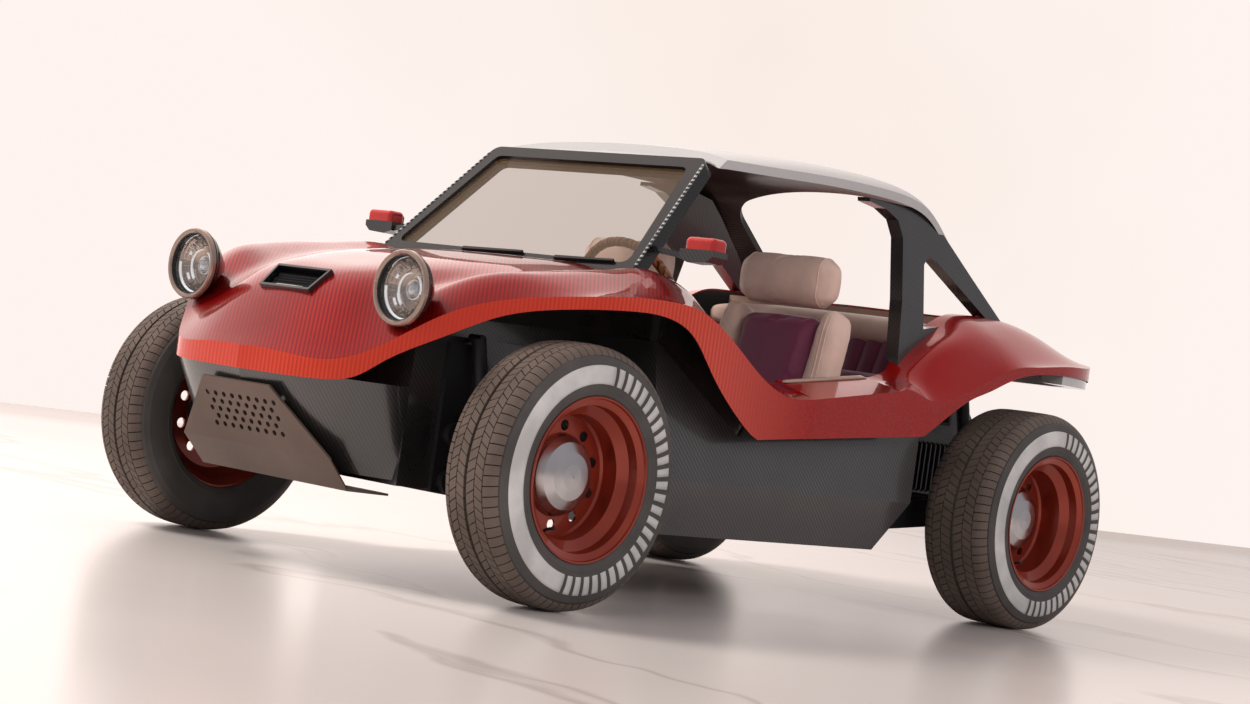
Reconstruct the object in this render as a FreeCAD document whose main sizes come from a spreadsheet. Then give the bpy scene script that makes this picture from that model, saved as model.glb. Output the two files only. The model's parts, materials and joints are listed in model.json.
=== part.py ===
import FreeCAD, Part
import functools
import math
import os
import re
import Sketcher
from FreeCAD import Placement, Rotation, Vector

# Open beach car with a moulded shell, a hardtop on side hoops and trailing-arm suspension.
# Millimetres. X to the car's left, Y to the rear, Z up. The origin lies on the ground
# in the middle of the car's length and width.

DRIVING_SIZES = (
    ("wheelbase", 2045, "front axle to rear axle"),
    ("front_overhang", 500, "front axle to the foremost point of the nose"),
    ("rear_overhang", 610, "rear axle to the tail"),
    ("tyre_radius", 334, "tread to wheel centre"),
    ("cowl_rise", 209, "tyre tops to the screen's lower corners"),
    ("screen_rise", 345, "height of the screen"),
    ("tub_half", 645, "car centre to the tub's side fold"),
    ("front_rim_face", 797, "car centre to the outer flange of a front rim"),
    ("rear_rim_face", 821, "car centre to the outer flange of a rear rim"),
    ("front_tyre_width", 208, "section width"),
    ("rear_tyre_width", 258, "section width"),
    ("tyre_bulge", 7, "sidewall beyond the rim flange"),
    ("sidewall", 126.5, "rim flange to tread"),
    ("rim_wall", 7, "rolled steel of the rim"),
    ("bead_share", 0.923, "bead seat over rim flange"),
    ("well_share", 0.793, "rim well over rim flange"),
    ("hub_share", 0.3, "raised middle of the wheel disc over rim flange"),
    ("cap_share", 0.5, "chrome cap over rim flange"),
    ("slot_circle_share", 0.6, "circle of the disc's slots over rim flange"),
    ("slot_share", 0.0675, "half width of a slot over rim flange"),
    ("brake_share", 0.57, "front brake plate over rim flange"),
    ("slot_count", 10, "slots in a wheel disc"),
    ("front_dish", 112, "outer flange to wheel disc, front"),
    ("rear_dish", 132, "outer flange to wheel disc, rear"),
    ("spindle_radius", 16, "stub axle in the hub"),
    ("bore_clearance", 0.05, "radial, between spindle and hub bore"),
    ("cap_height", 46, "crown of the chrome cap"),
    ("cap_wall", 2.5, "chrome cap"),
    ("kingpin_offset", 622, "car centre to kingpin"),
    ("kingpin_radius", 19, "kingpin carrier"),
    ("kingpin_span", 150, "height of the kingpin carrier"),
    ("arm_spread", 120, "upper to lower trailing arm"),
    ("beam_lead", 120, "beam tubes ahead of the front axle"),
    ("beam_radius", 29, "torsion beam tube"),
    ("beam_half", 432, "half length of the beam tubes"),
    ("damper_radius", 19, "shock absorber"),
    ("torsion_radius", 34, "rear torsion tube"),
    ("panel_wall", 6, "moulded shell"),
    ("seat_gap", 0.3, "between a piece and what it sits on"),
    ("tub_tuck", 45, "how far the side leans in from its fold"),
    ("tub_floor", 196, "underside of the tub above ground"),
    ("tub_wall", 22, "sandwich wall of the tub"),
    ("footwell_wall", 12, "sandwich wall of the footwell box"),
    ("footwell_half", 398, "half width of the footwell box"),
    ("screen_bar", 42, "width of the screen frame"),
    ("screen_depth", 46, "depth of the screen frame"),
    ("screen_lap", 10, "screen frame outside its corner points"),
    ("screen_corner", 30, "rounding of the screen frame's corners"),
    ("glass_thickness", 6, "laminated glass"),
    ("glass_set", 10, "glass behind the frame's front face"),
    ("roof_wall", 26, "hardtop shell"),
    ("hoop_wall", 46, "side hoop plate"),
    ("lamp_radius", 95, "outer radius of the headlamp bezel"),
    ("lamp_lip", 13, "bezel width"),
    ("lamp_depth", 104, "bezel face to the back of the bowl"),
    ("mirror_width", 104, "mirror cap"),
    ("mirror_depth", 58, "mirror cap"),
    ("mirror_cap_height", 34, "mirror cap"),
    ("wheel_radius", 180, "steering wheel"),
    ("wheel_grip", 14, "steering wheel rim section"),
    ("wheel_rake", 24, "column's rise towards the driver in degrees"),
    ("column_radius", 24, "steering column"),
    ("headrest_width", 350, "pillow width"),
    ("headrest_height", 165, "pillow height"),
    ("headrest_depth", 105, "pillow thickness"),
    ("firewall_wall", 10, "firewall and bench shelf"),
    ("skid_wall", 6, "skid plate sheet"),
    ("skid_hole", 7.5, "radius of a hole in the skid plate"),
    ("skid_pitch", 33, "hole spacing across the skid plate"),
    ("skid_row", 22, "hole spacing down the skid plate"),
)

doc = FreeCAD.newDocument("dune_buggy")
sheet = doc.addObject("Spreadsheet::Sheet", "Sizes")
for row, (alias, size, meaning) in enumerate(DRIVING_SIZES, start=1):
    sheet.set(f"A{row}", alias)
    sheet.set(f"B{row}", str(size))
    sheet.setAlias(f"B{row}", alias)
    sheet.set(f"C{row}", meaning)
doc.recompute()

ALIASES = {alias for alias, size, meaning in DRIVING_SIZES}
FRONT_AXLE = "(front_overhang - wheelbase - rear_overhang) / 2"
REAR_AXLE = "(front_overhang + wheelbase - rear_overhang) / 2"
RIM_RADIUS = "(tyre_radius - sidewall)"
COWL = "(2 * tyre_radius + cowl_rise)"
PARTS = []

# The outlines in this file are drawn between these marks: a drawn distance, and the size that sets it.
FRONT_MARKS = ((-500, "-1 * front_overhang"), (0, "0"), (2045, "wheelbase"))
REAR_MARKS = ((-2045, "-1 * wheelbase"), (0, "0"), (610, "rear_overhang"))
LEVEL_MARKS = ((0, "0"), (668, "2 * tyre_radius"), (877, COWL), (1222, f"{COWL} + screen_rise"))
OUT_MARKS = ((0, "0"), (645, "tub_half"))


@functools.lru_cache(maxsize=None)
def value(expression):
    return float(sheet.evalExpression(str(expression)))


def bound(expression):
    """The expression with each size read from the sheet."""

    def sized(found):
        word = found.group(0)
        return "Sizes." + word if word in ALIASES else word

    return re.sub(r"[a-z_]+", sized, str(expression))


# Drawn distances, as expressions that stretch with the driving sizes


def between(marks, distance):
    """The expression for a drawn distance, spread evenly between the marks beside it."""
    last = len(marks) - 1
    upper = next((index for index in range(1, last) if distance <= marks[index][0]), last)
    (low, low_size), (high, high_size) = marks[upper - 1], marks[upper]
    share = (distance - low) / (high - low)
    return f"({low_size} + {share} * ({high_size} - ({low_size})))"


def front_at(distance):
    """Y of a place drawn this far behind the front axle."""
    return f"({FRONT_AXLE} + {between(FRONT_MARKS, distance)})"


def rear_at(distance):
    """Y of a place drawn this far behind the rear axle."""
    return f"({REAR_AXLE} + {between(REAR_MARKS, distance)})"


def level_at(height):
    """Z of a place drawn this far above the ground."""
    return between(LEVEL_MARKS, height)


def out_at(half):
    """X of a place drawn this far from the middle of the car."""
    return between(OUT_MARKS, half)


def front(distance):
    return value(front_at(distance))


def rear(distance):
    return value(rear_at(distance))


def level(height):
    return value(level_at(height))


def out(half):
    return value(out_at(half))


# Building helpers


def new_body(label):
    body = doc.addObject("PartDesign::Body", label)
    body.Label = label
    PARTS.append(body)
    return body


def helper_body(label):
    """A body that is cut or joined into a sub-part later."""
    body = new_body(label)
    PARTS.remove(body)
    return body


def plane_of(body, role):
    return next(feature for feature in body.Origin.OriginFeatures if feature.Role == role)


def place(item, where, turn=None):
    """Binds the item's place to the sheet; turn is an axis and an angle in degrees."""
    if turn:
        item.Placement = Placement(Vector(), Rotation(turn[0], turn[1]))
    for axis, expression in zip("xyz", where):
        item.setExpression(f"Placement.Base.{axis}", bound(expression))


def new_sketch(body, role, name, height="0"):
    sketch = body.newObject("Sketcher::SketchObject", name)
    sketch.AttachmentSupport = [(plane_of(body, role), "")]
    sketch.MapMode = "FlatFace"
    if height != "0":
        sketch.setExpression("AttachmentOffset.Base.z", bound(height))
    return sketch


def pin(sketch, geometry, point, across, up):
    """Fixes a point of the sketch at two expressions of the sheet."""
    for kind, expression, axis in (("DistanceX", across, -2), ("DistanceY", up, -1)):
        if str(expression) == "0":
            sketch.addConstraint(Sketcher.Constraint("PointOnObject", geometry, point, axis))
        else:
            held = Sketcher.Constraint(kind, -1, 1, geometry, point, value(expression))
            number = sketch.addConstraint(held)
            sketch.setExpression(f"Constraints[{number}]", bound(expression))


def draw_outline(sketch, points):
    """A closed outline of straight lines through points given as expressions."""
    first = sketch.GeometryCount
    places = [Vector(value(across), value(up), 0) for across, up in points]
    count = len(places)
    for index in range(count):
        sketch.addGeometry(Part.LineSegment(places[index], places[(index + 1) % count]), False)
    for index in range(count):
        following = first + (index + 1) % count
        sketch.addConstraint(Sketcher.Constraint("Coincident", first + index, 2, following, 1))
    for index, (across, up) in enumerate(points):
        pin(sketch, first + index, 1, across, up)


def draw_circle(sketch, across, up, radius):
    number = sketch.GeometryCount
    centre = Vector(value(across), value(up), 0)
    sketch.addGeometry(Part.Circle(centre, Vector(0, 0, 1), value(radius)), False)
    pin(sketch, number, 3, across, up)
    index = sketch.addConstraint(Sketcher.Constraint("Radius", number, value(radius)))
    sketch.setExpression(f"Constraints[{index}]", bound(radius))


def feature(body, kind, name, sketch, **settings):
    made = body.newObject("PartDesign::" + kind, name)
    made.Profile = sketch
    for setting, worth in settings.items():
        if isinstance(worth, str):
            made.setExpression(setting, bound(worth))
        else:
            setattr(made, setting, worth)
    sketch.Visibility = False
    return made


def revolve(body, name, points, axis="H_Axis", role="XZ_Plane"):
    sketch = new_sketch(body, role, name + "_profile")
    draw_outline(sketch, points)
    return feature(body, "Revolution", name, sketch, ReferenceAxis=(sketch, [axis]), Angle=360.0)


def pad(body, name, points, length, role="YZ_Plane", height="0", midplane=True):
    """Extrudes an outline; on the YZ plane its points are (Y, Z) and it grows along X both ways."""
    sketch = new_sketch(body, role, name + "_outline", height)
    draw_outline(sketch, points)
    return feature(body, "Pad", name, sketch, Length=length, Midplane=midplane)


def round_edges(body, name, radius, wanted):
    """Fillets the edges of the body's last feature that the test picks."""
    doc.recompute()
    base = body.Tip
    numbered = enumerate(base.Shape.Edges, start=1)
    edges = [f"Edge{number}" for number, edge in numbered if wanted(edge)]
    made = body.newObject("PartDesign::Fillet", name)
    made.Base = (base, edges)
    made.setExpression("Radius", bound(radius))
    return made


def runs_along(direction):
    """A test for edges that run along a direction."""

    def test(edge):
        return abs(edge.tangentAt(edge.FirstParameter).dot(direction)) > 0.99

    return test


def cylinder(name, radius, length, start, direction=Vector(0, 0, 1)):
    """A round bar from a start point; its sizes and its place are bound to the sheet."""
    made = doc.addObject("Part::Cylinder", name)
    made.setExpression("Radius", bound(radius))
    made.setExpression("Height", bound(length))
    made.Placement = Placement(Vector(), Rotation(Vector(0, 0, 1), direction))
    place(made, start)
    return made


def block(name, size, corner):
    """A square-cut block with its lowest corner at a place."""
    made = doc.addObject("Part::Box", name)
    for setting, expression in zip(("Length", "Width", "Height"), size):
        made.setExpression(setting, bound(expression))
    place(made, corner)
    return made


def fused(name, pieces):
    made = doc.addObject("Part::MultiFuse", name)
    made.Shapes = pieces
    made.Refine = True
    return made


def cut(name, base, tool):
    made = doc.addObject("Part::Cut", name)
    made.Base = base
    made.Tool = tool
    return made


def grouped(name, pieces):
    made = doc.addObject("Part::Compound", name)
    made.Links = pieces
    return made


def kept(item):
    """Counts an item as a sub-part under its own name."""
    item.Label = item.Name
    PARTS.append(item)
    return item


def shaped(name, shape):
    """An item whose shape is worked out here from the sheet's sizes."""
    made = doc.addObject("Part::Feature", name)
    made.Shape = shape
    return made


def mirrored(shape):
    return shape.mirror(Vector(0, 0, 0), Vector(1, 0, 0))


def flat_face(points):
    corners = [Vector(*point) for point in points]
    return Part.Face(Part.makePolygon(corners + corners[:1]))


def rod(start, end, radius):
    start, end = Vector(*start), Vector(*end)
    return Part.makeCylinder(radius, (end - start).Length, start, end - start)


def bar(start, end, width, height):
    """A straight bar of rectangular section between two points, its height standing up."""
    start, end = Vector(*start), Vector(*end)
    run = end - start
    side = run.cross(Vector(0, 0, 1)).normalize() * (width / 2)
    rise = side.cross(run).normalize() * (height / 2)
    corners = [start + side + rise, start - side + rise, start - side - rise, start + side - rise]
    return Part.Face(Part.makePolygon(corners + corners[:1])).extrude(run)


def joined(shapes):
    whole = shapes[0].fuse(shapes[1:]) if len(shapes) > 1 else shapes[0]
    return whole.removeSplitter()


# Wheels

WHEELS = {
    "front_left": ("front", 1),
    "front_right": ("front", -1),
    "rear_left": ("rear", 1),
    "rear_right": ("rear", -1),
}
SIDES = (("left", 1), ("right", -1))


def wheel_place(body, axle, side):
    middle = FRONT_AXLE if axle == "front" else REAR_AXLE
    turn = None if side > 0 else (Vector(0, 0, 1), 180)
    place(body, (f"{side} * {axle}_rim_face", middle, "tyre_radius"), turn)


def build_tyre(name, axle, side):
    """Section seen from the front: the outer rim flange is at zero, the car is at minus X."""
    body = new_body("tyre_" + name)
    width = f"{axle}_tyre_width"
    half = (
        ("tyre_bulge - 9", f"{RIM_RADIUS} + seat_gap"),
        ("tyre_bulge - 3", f"{RIM_RADIUS} + 0.174 * sidewall"),
        ("tyre_bulge", f"{RIM_RADIUS} + 0.41 * sidewall"),
        ("tyre_bulge - 6", f"{RIM_RADIUS} + 0.668 * sidewall"),
        ("tyre_bulge - 20", f"{RIM_RADIUS} + 0.858 * sidewall"),
        ("tyre_bulge - 36", f"{RIM_RADIUS} + 0.96 * sidewall"),
        ("tyre_bulge - 60", f"{RIM_RADIUS} + 0.992 * sidewall"),
    )
    middle = (f"tyre_bulge - {width} / 2", "tyre_radius")
    inner = [(f"2 * tyre_bulge - {width} - ({across})", up) for across, up in half[::-1]]
    revolve(body, "tread_and_walls", list(half) + [middle] + inner)
    wheel_place(body, axle, side)


def build_rim(name, axle, side):
    body = new_body("rim_" + name)
    width = f"({axle}_tyre_width - 2 * tyre_bulge - 18)"
    dish = f"{axle}_dish"
    seat = f"{RIM_RADIUS} * bead_share"
    well = f"{RIM_RADIUS} * well_share"
    hub = f"{RIM_RADIUS} * hub_share"
    cap = f"{RIM_RADIUS} * cap_share"
    outside = [
        ("0", RIM_RADIUS),
        ("-8", RIM_RADIUS),
        ("-11", seat),
        ("-38", seat + " - 2"),
        ("-58", well),
        (f"52 - {width}", well),
        (f"34 - {width}", seat + " - 2"),
        (f"11 - {width}", seat),
        (f"8 - {width}", RIM_RADIUS),
        (f"-1 * {width}", RIM_RADIUS),
    ]
    inside = [
        (f"-1 * {width}", f"{RIM_RADIUS} - 6"),
        (f"14 - {width}", seat + " - rim_wall"),
        (f"36 - {width}", seat + " - 2 - rim_wall"),
        (f"55 - {width}", well + " - rim_wall"),
        (f"-1 * {dish} - rim_wall", well + " - rim_wall"),
        (f"-1 * {dish} - rim_wall", cap + " + 2"),
        (f"-1 * {dish} - 20", hub + " + 14"),
        (f"-1 * {dish} - 20", "spindle_radius + bore_clearance"),
        (f"-1 * {dish}", "spindle_radius + bore_clearance"),
        (f"-1 * {dish}", hub),
        (f"-1 * {dish} - 8", hub + " + 16"),
        (f"-1 * {dish}", cap + " + 2"),
        (f"-1 * {dish}", well + " - rim_wall - 6"),
        (f"6 - {dish}", well + " - rim_wall"),
        ("-60", well + " - rim_wall"),
        ("-40", seat + " - 2 - rim_wall"),
        ("-14", seat + " - rim_wall"),
        ("-5", f"{RIM_RADIUS} - 7"),
        ("0", f"{RIM_RADIUS} - 5"),
    ]
    revolve(body, "rolled_rim", outside + inside)
    sketch = new_sketch(body, "YZ_Plane", "slot_outline", f"4 - {dish}")
    draw_circle(sketch, "0", f"{RIM_RADIUS} * slot_circle_share", f"{RIM_RADIUS} * slot_share")
    slot = feature(body, "Pocket", "slot", sketch, Length=40.0)
    pattern = body.newObject("PartDesign::PolarPattern", "slots")
    pattern.Originals = [slot]
    pattern.Axis = (plane_of(body, "X_Axis"), [""])
    pattern.Angle = 360.0
    pattern.setExpression("Occurrences", bound("slot_count"))
    body.Tip = pattern
    wheel_place(body, axle, side)


def build_cap(name, axle, side):
    """A spun dome that clips over the raised middle of the disc."""
    body = new_body("hubcap_" + name)
    foot = f"seat_gap - {axle}_dish"
    reach = f"{RIM_RADIUS} * cap_share"
    crown = (("1", "0"), ("0.97", "0.3"), ("0.86", "0.58"), ("0.62", "0.82"), ("0.3", "0.95"))
    outer = [
        (f"{foot} + 6 + cap_height * {rise}", "0" if share == "0" else f"{reach} * {share}")
        for rise, share in crown
    ]
    rim = [(f"{foot} + 6", reach), (foot, reach), (foot, reach + " - 4")]
    inner = [(f"{across} - cap_wall", f"{up} * 0.96") for across, up in outer[:0:-1]]
    tip = (f"{foot} + 6 - cap_wall + cap_height", "0")
    revolve(body, "dome", outer + rim + inner + [tip])
    wheel_place(body, axle, side)


def build_wheels():
    for name, (axle, side) in WHEELS.items():
        build_tyre(name, axle, side)
        build_rim(name, axle, side)
        build_cap(name, axle, side)


def build_knuckles():
    """Kingpin carrier, stub axle, brake plate and steering arm."""
    for name, side in SIDES:
        pin_x = f"{side} * kingpin_offset"
        face = f"{side} * (kingpin_offset + 28)"
        sideways = Vector(side, 0, 0)
        hub = "tyre_radius"
        carrier = cylinder(
            "carrier_" + name, "kingpin_radius", "kingpin_span",
            (pin_x, FRONT_AXLE, f"{hub} - kingpin_span / 2"),
        )
        reach = "front_rim_face - front_dish - 1 - kingpin_offset"
        spindle = cylinder("spindle_" + name, "spindle_radius", reach, (pin_x, FRONT_AXLE, hub), sideways)
        plate = cylinder(
            "brake_plate_" + name, f"{RIM_RADIUS} * brake_share", "8", (face, FRONT_AXLE, hub), sideways,
        )
        arm = block(
            "steering_arm_" + name, ("26", "112", "14"),
            (f"{side} * (kingpin_offset - 8) - 13", FRONT_AXLE, f"{hub} - 59"),
        )
        kept(fused("knuckle_" + name, [carrier, spindle, plate, arm]))


# Moulded shell

# Each station of the shell: distance behind the axle, half width of the lofting frame, then the
# heights of the surface at the shares of that half width below.
SURFACE_SHARES = (0, 0.2, 0.4, 0.58, 0.76, 0.9, 1.0, 1.12)
FRONT_STATIONS = (
    (-540, 430, 500, 495, 480, 455, 425, 400, 380, 350),
    (-500, 435, 543, 538, 525, 505, 475, 445, 425, 395),
    (-450, 445, 602, 598, 583, 560, 532, 508, 490, 460),
    (-380, 470, 698, 692, 672, 638, 605, 585, 560, 520),
    (-300, 520, 764, 762, 742, 702, 690, 678, 658, 620),
    (-180, 600, 800, 800, 785, 758, 788, 772, 740, 700),
    (-40, 705, 833, 832, 818, 800, 828, 802, 776, 750),
    (110, 752, 857, 856, 847, 833, 851, 812, 798, 780),
    (250, 754, 876, 875, 867, 856, 868, 818, 804, 790),
    (372, 752, 888, 887, 883, 876, 880, 812, 797, 780),
    (470, 740, 894, 893, 890, 884, 866, 788, 768, 750),
    (600, 720, 898, 897, 893, 885, 824, 736, 708, 690),
    (738, 704, 895, 892, 880, 850, 738, 668, 640, 622),
    (850, 700, 880, 875, 850, 790, 680, 628, 606, 590),
    (972, 700, 860, 850, 820, 750, 648, 622, 610, 596),
    (1040, 700, 850, 840, 810, 745, 652, 628, 616, 602),
)
REAR_STATIONS = (
    (-760, 700, 850, 840, 810, 760, 684, 664, 655, 640),
    (-682, 700, 860, 850, 820, 770, 698, 678, 668, 652),
    (-600, 700, 880, 870, 840, 790, 716, 694, 672, 655),
    (-530, 702, 900, 890, 865, 815, 752, 722, 655, 632),
    (-440, 704, 915, 908, 890, 855, 808, 792, 668, 640),
    (-330, 706, 925, 920, 912, 898, 868, 846, 710, 680),
    (-220, 708, 930, 927, 925, 925, 922, 868, 756, 720),
    (-120, 710, 933, 931, 930, 932, 932, 868, 790, 760),
    (0, 710, 935, 933, 932, 934, 934, 860, 806, 780),
    (150, 704, 936, 934, 932, 930, 924, 852, 822, 800),
    (300, 690, 930, 928, 924, 916, 900, 848, 832, 812),
    (440, 670, 908, 906, 900, 888, 868, 844, 836, 820),
    (560, 650, 874, 872, 866, 856, 846, 838, 830, 815),
    (620, 640, 852, 850, 846, 838, 830, 822, 815, 800),
    (680, 640, 825, 823, 820, 812, 805, 798, 790, 775),
)
# Plan outlines of the lips, from the middle of the car outwards: half width, distance behind the axle.
FRONT_PLAN = (
    (0, -500),
    (180, -486),
    (318, -446),
    (402, -376),
    (500, -282),
    (600, -172),
    (694, -50),
    (746, 90),
    (752, 250),
    (748, 372),
    (734, 500),
    (716, 630),
    (702, 760),
    (700, 972),
)
REAR_PLAN = (
    (700, -682),
    (702, -530),
    (708, -300),
    (710, -120),
    (708, 60),
    (694, 240),
    (660, 370),
    (600, 470),
    (500, 548),
    (340, 592),
    (0, 610),
)
# Lip heights seen from the side: distance behind the axle, height.
FRONT_LIP = (
    (-540, 484),
    (-478, 486),
    (-428, 500),
    (-378, 549),
    (-278, 634),
    (-172, 707),
    (-56, 742),
    (109, 762),
    (248, 762),
    (350, 734),
    (462, 645),
    (612, 540),
    (700, 492),
)
REAR_LIP = (
    (-541, 547),
    (-430, 618),
    (-314, 682),
    (-240, 708),
    (-162, 740),
    (-37, 776),
    (96, 791),
    (400, 792),
    (700, 792),
)
SILL_LIP_FRONT = (738, 479)
SILL_HALF = 700
SILL_INNER = 548
SEAM_FRONT = 972
SEAM_REAR = -682
# Heights of the sill's fold and of its cockpit edge, at the front seam and at the rear one.
SILL_FRONT = (610, 650)
SILL_REAR = (668, 700)
# The cockpit's opening in each shell, from the middle outwards: half width, distance behind the axle.
COCKPIT_FRONT = ((505, 434), (SILL_INNER, 560), (SILL_INNER, 980))
COCKPIT_REAR = ((SILL_INNER, -700), (SILL_INNER, -560), (490, -440), (490, -60))
# Past every face of the shell: sideways, downwards and upwards.
WIDE = 900
DEEP = 700
HIGH = 1300


@functools.lru_cache(maxsize=None)
def loft_surface(stations, shares, along, drop=0.0):
    """A smooth face through the stations' heights, the whole width of the car."""
    rows = []
    for distance, half, *heights in stations:
        left = [
            Vector(out(half * share), along(distance), level(up) - drop)
            for share, up in zip(shares, heights)
        ]
        right = [Vector(-point.x, point.y, point.z) for point in left]
        rows.append(right[:0:-1] + left)
    surface = Part.BSplineSurface()
    surface.interpolate(rows)
    return surface.toShape()


def half_outline(plan, along, inset):
    """The left half of a lip outline, moved inwards by the inset."""
    curve = Part.BSplineCurve()
    curve.interpolate([Vector(out(half), along(distance), 0) for half, distance in plan])
    if inset == 0:
        return curve
    moved = []
    for half, distance in plan:
        point = Vector(out(half), along(distance), 0)
        tangent = Vector(*curve.tangent(curve.parameter(point))[0])
        inward = tangent.cross(Vector(0, 0, 1)) * -1
        if inward.x > 0:
            inward = inward * -1
        if half == 0:
            inward = Vector(0, math.copysign(1, -distance), 0)
        moved.append(point + inward * inset)
    inner = Part.BSplineCurve()
    inner.interpolate(moved)
    return inner


def shell_prism(plan, along, inset, seam):
    """The upright block inside a lip outline, closed straight across at the seam."""
    left = half_outline(plan, along, inset).toShape()
    edges = [left, mirrored(left)]
    seam_y = along(seam)
    leads = plan[0][0] == 0
    ends = [edge.valueAt(edge.LastParameter if leads else edge.FirstParameter) for edge in edges]
    corners = [Vector(end.x, seam_y, 0) for end in ends]
    if abs(corners[0].y - ends[0].y) > 0.01:
        edges += [Part.makeLine(end, corner) for end, corner in zip(ends, corners)]
    edges.append(Part.makeLine(*corners))
    wire = Part.Wire(Part.__sortEdges__(edges))
    return Part.Face(wire).extrude(Vector(0, 0, level(HIGH)))


def side_prism(outline, half=WIDE):
    """A block across the middle of the car with this side outline of (Y, Z) points."""
    reach = out(half)
    return flat_face([(-reach, along, up) for along, up in outline]).extrude(Vector(2 * reach, 0, 0))


def plan_prism(plan, along, low=0, high=HIGH):
    """An upright block over a plan drawn for the left side, from its front to its rear."""
    left = [(out(half), along(distance), level(low)) for half, distance in plan]
    right = [(-across, where, up) for across, where, up in left]
    return flat_face(left + right[::-1]).extrude(Vector(0, 0, level(high) - level(low)))


def below_line(line, along):
    """Everything below a curved lip line seen from the side."""
    points = [Vector(-out(WIDE), along(distance), level(up)) for distance, up in line]
    curve = Part.BSplineCurve()
    curve.interpolate(points)
    foot = [Vector(points[index].x, points[index].y, 0) for index in (-1, 0)]
    base = Part.makePolygon([points[-1], *foot, points[0]])
    return Part.Face(Part.Wire([curve.toShape(), *base.Edges])).extrude(Vector(2 * out(WIDE), 0, 0))


def below_front(rise):
    """Everything under the front skin's outer face, moved up by rise."""
    return loft_surface(FRONT_STATIONS, SURFACE_SHARES, front, -rise).extrude(Vector(0, 0, -level(DEEP)))


def below_rear(rise):
    return loft_surface(REAR_STATIONS, SURFACE_SHARES, rear, -rise).extrude(Vector(0, 0, -level(DEEP)))


def skin(below, plan, along, seam):
    """The moulded skin: the block under the surface less the same block one wall further in."""
    wall = value("panel_wall")
    leads = plan[0][0] == 0
    outer = shell_prism(plan, along, 0, seam).common(below(0))
    back = wall * 0.6 if leads else -wall * 0.4
    inner = shell_prism(plan, along, wall, seam + 5 if leads else seam - 5)
    return outer.cut(inner.common(below(-wall).translated(Vector(0, back, 0))))


@functools.lru_cache(maxsize=None)
def hood_room():
    """What the hood and its clearance take from the pieces that stand on it."""
    return shaped("hood_room", below_front(value("seat_gap")))


@functools.lru_cache(maxsize=None)
def deck_zone():
    """The rear skin with its clearance: everything over its inner face."""
    drop = value("panel_wall") * 1.2
    face = loft_surface(REAR_STATIONS, SURFACE_SHARES, rear, drop)
    return shaped("deck_zone", face.extrude(Vector(0, 0, level(200))))


def sill_lip(along_y):
    """Height of the sill's lower edge, which climbs evenly from the front fender to the rear one."""
    start_y, start_z = front(SILL_LIP_FRONT[0]), level(SILL_LIP_FRONT[1])
    end_y, end_z = rear(REAR_LIP[0][0]), level(REAR_LIP[0][1])
    return start_z + (end_z - start_z) * (along_y - start_y) / (end_y - start_y)


def build_body_front():
    shell = skin(below_front, FRONT_PLAN, front, SEAM_FRONT)
    shell = shell.cut(below_line(FRONT_LIP, front))
    lip_end, lip_up = FRONT_LIP[-1]
    past = front(SEAM_FRONT + 28)
    below = side_prism([
        (front(lip_end) - 1, 0),
        (past, 0),
        (past, sill_lip(past)),
        (front(SILL_LIP_FRONT[0]), level(SILL_LIP_FRONT[1])),
        (front(lip_end) - 1, level(lip_up) + value("seat_gap")),
    ])
    scoop = scoop_ring(0, -2 * SCOOP_DEPTH).extrude(scoop_normal() * 4 * SCOOP_DEPTH)
    kept(shaped("body_front", shell.cut([below, plan_prism(COCKPIT_FRONT, front), scoop])))


def build_body_rear():
    shell = skin(below_rear, REAR_PLAN, rear, SEAM_REAR)
    shell = shell.cut(below_line(REAR_LIP, rear))
    lip_end, lip_up = REAR_LIP[0]
    past = rear(SEAM_REAR - 18)
    below = side_prism([
        (past, 0),
        (rear(lip_end) + 1, 0),
        (rear(lip_end) + 1, level(lip_up) + 2 * value("seat_gap")),
        (past, sill_lip(past)),
    ])
    kept(shaped("body_rear", shell.cut([below, plan_prism(COCKPIT_REAR, rear)])))


def build_sills():
    """Side members between the two seams: lip, upright face, fold and sloping top."""
    wall = value("panel_wall")
    gap = value("seat_gap")
    outer = out(SILL_HALF)
    inner = out(SILL_INNER)

    def section(along_y, fold_up, edge_up):
        lip_up = sill_lip(along_y)
        outline = [
            (outer, lip_up),
            (outer, level(fold_up)),
            (inner, level(edge_up)),
            (inner, level(edge_up) - wall),
            (outer - wall, level(fold_up) - wall),
            (outer - wall, lip_up),
        ]
        corners = [Vector(across, along_y, up) for across, up in outline]
        return Part.makePolygon(corners + corners[:1])

    first = section(front(SEAM_FRONT) + gap, *SILL_FRONT)
    last = section(rear(SEAM_REAR) - gap, *SILL_REAR)
    left = Part.makeLoft([first, last], True, True)
    kept(shaped("sill_left", left))
    kept(shaped("sill_right", mirrored(left)))


# Lower nose, skid plate and scoop

# The scoop's mouth on the hood: half width, then distance behind the axle and height of its edges.
SCOOP_HALF = 106
SCOOP_TAPER = 8
SCOOP_LOW = (-385, 703)
SCOOP_HIGH = (-322, 764)
SCOOP_DEPTH = 34
SCOOP_FLOOR = 6
SCOOP_RIM = 8
SCOOP_STAND = 2


def scoop_line():
    low = Vector(0, front(SCOOP_LOW[0]), level(SCOOP_LOW[1]))
    high = Vector(0, front(SCOOP_HIGH[0]), level(SCOOP_HIGH[1]))
    return low, high, (high - low).normalize()


def scoop_normal():
    up = scoop_line()[2]
    return Vector(0, -up.z, up.y)


def scoop_ring(inset, stand):
    """The mouth's outline, smaller by the inset and moved out of the hood by the stand."""
    low, high, up = scoop_line()
    low = low + up * inset + scoop_normal() * stand
    high = high - up * inset + scoop_normal() * stand
    low_half = out(SCOOP_HALF - SCOOP_TAPER) - inset
    high_half = out(SCOOP_HALF) - inset
    return flat_face([
        (-low_half, low.y, low.z),
        (low_half, low.y, low.z),
        (high_half, high.y, high.z),
        (-high_half, high.y, high.z),
    ])


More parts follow.
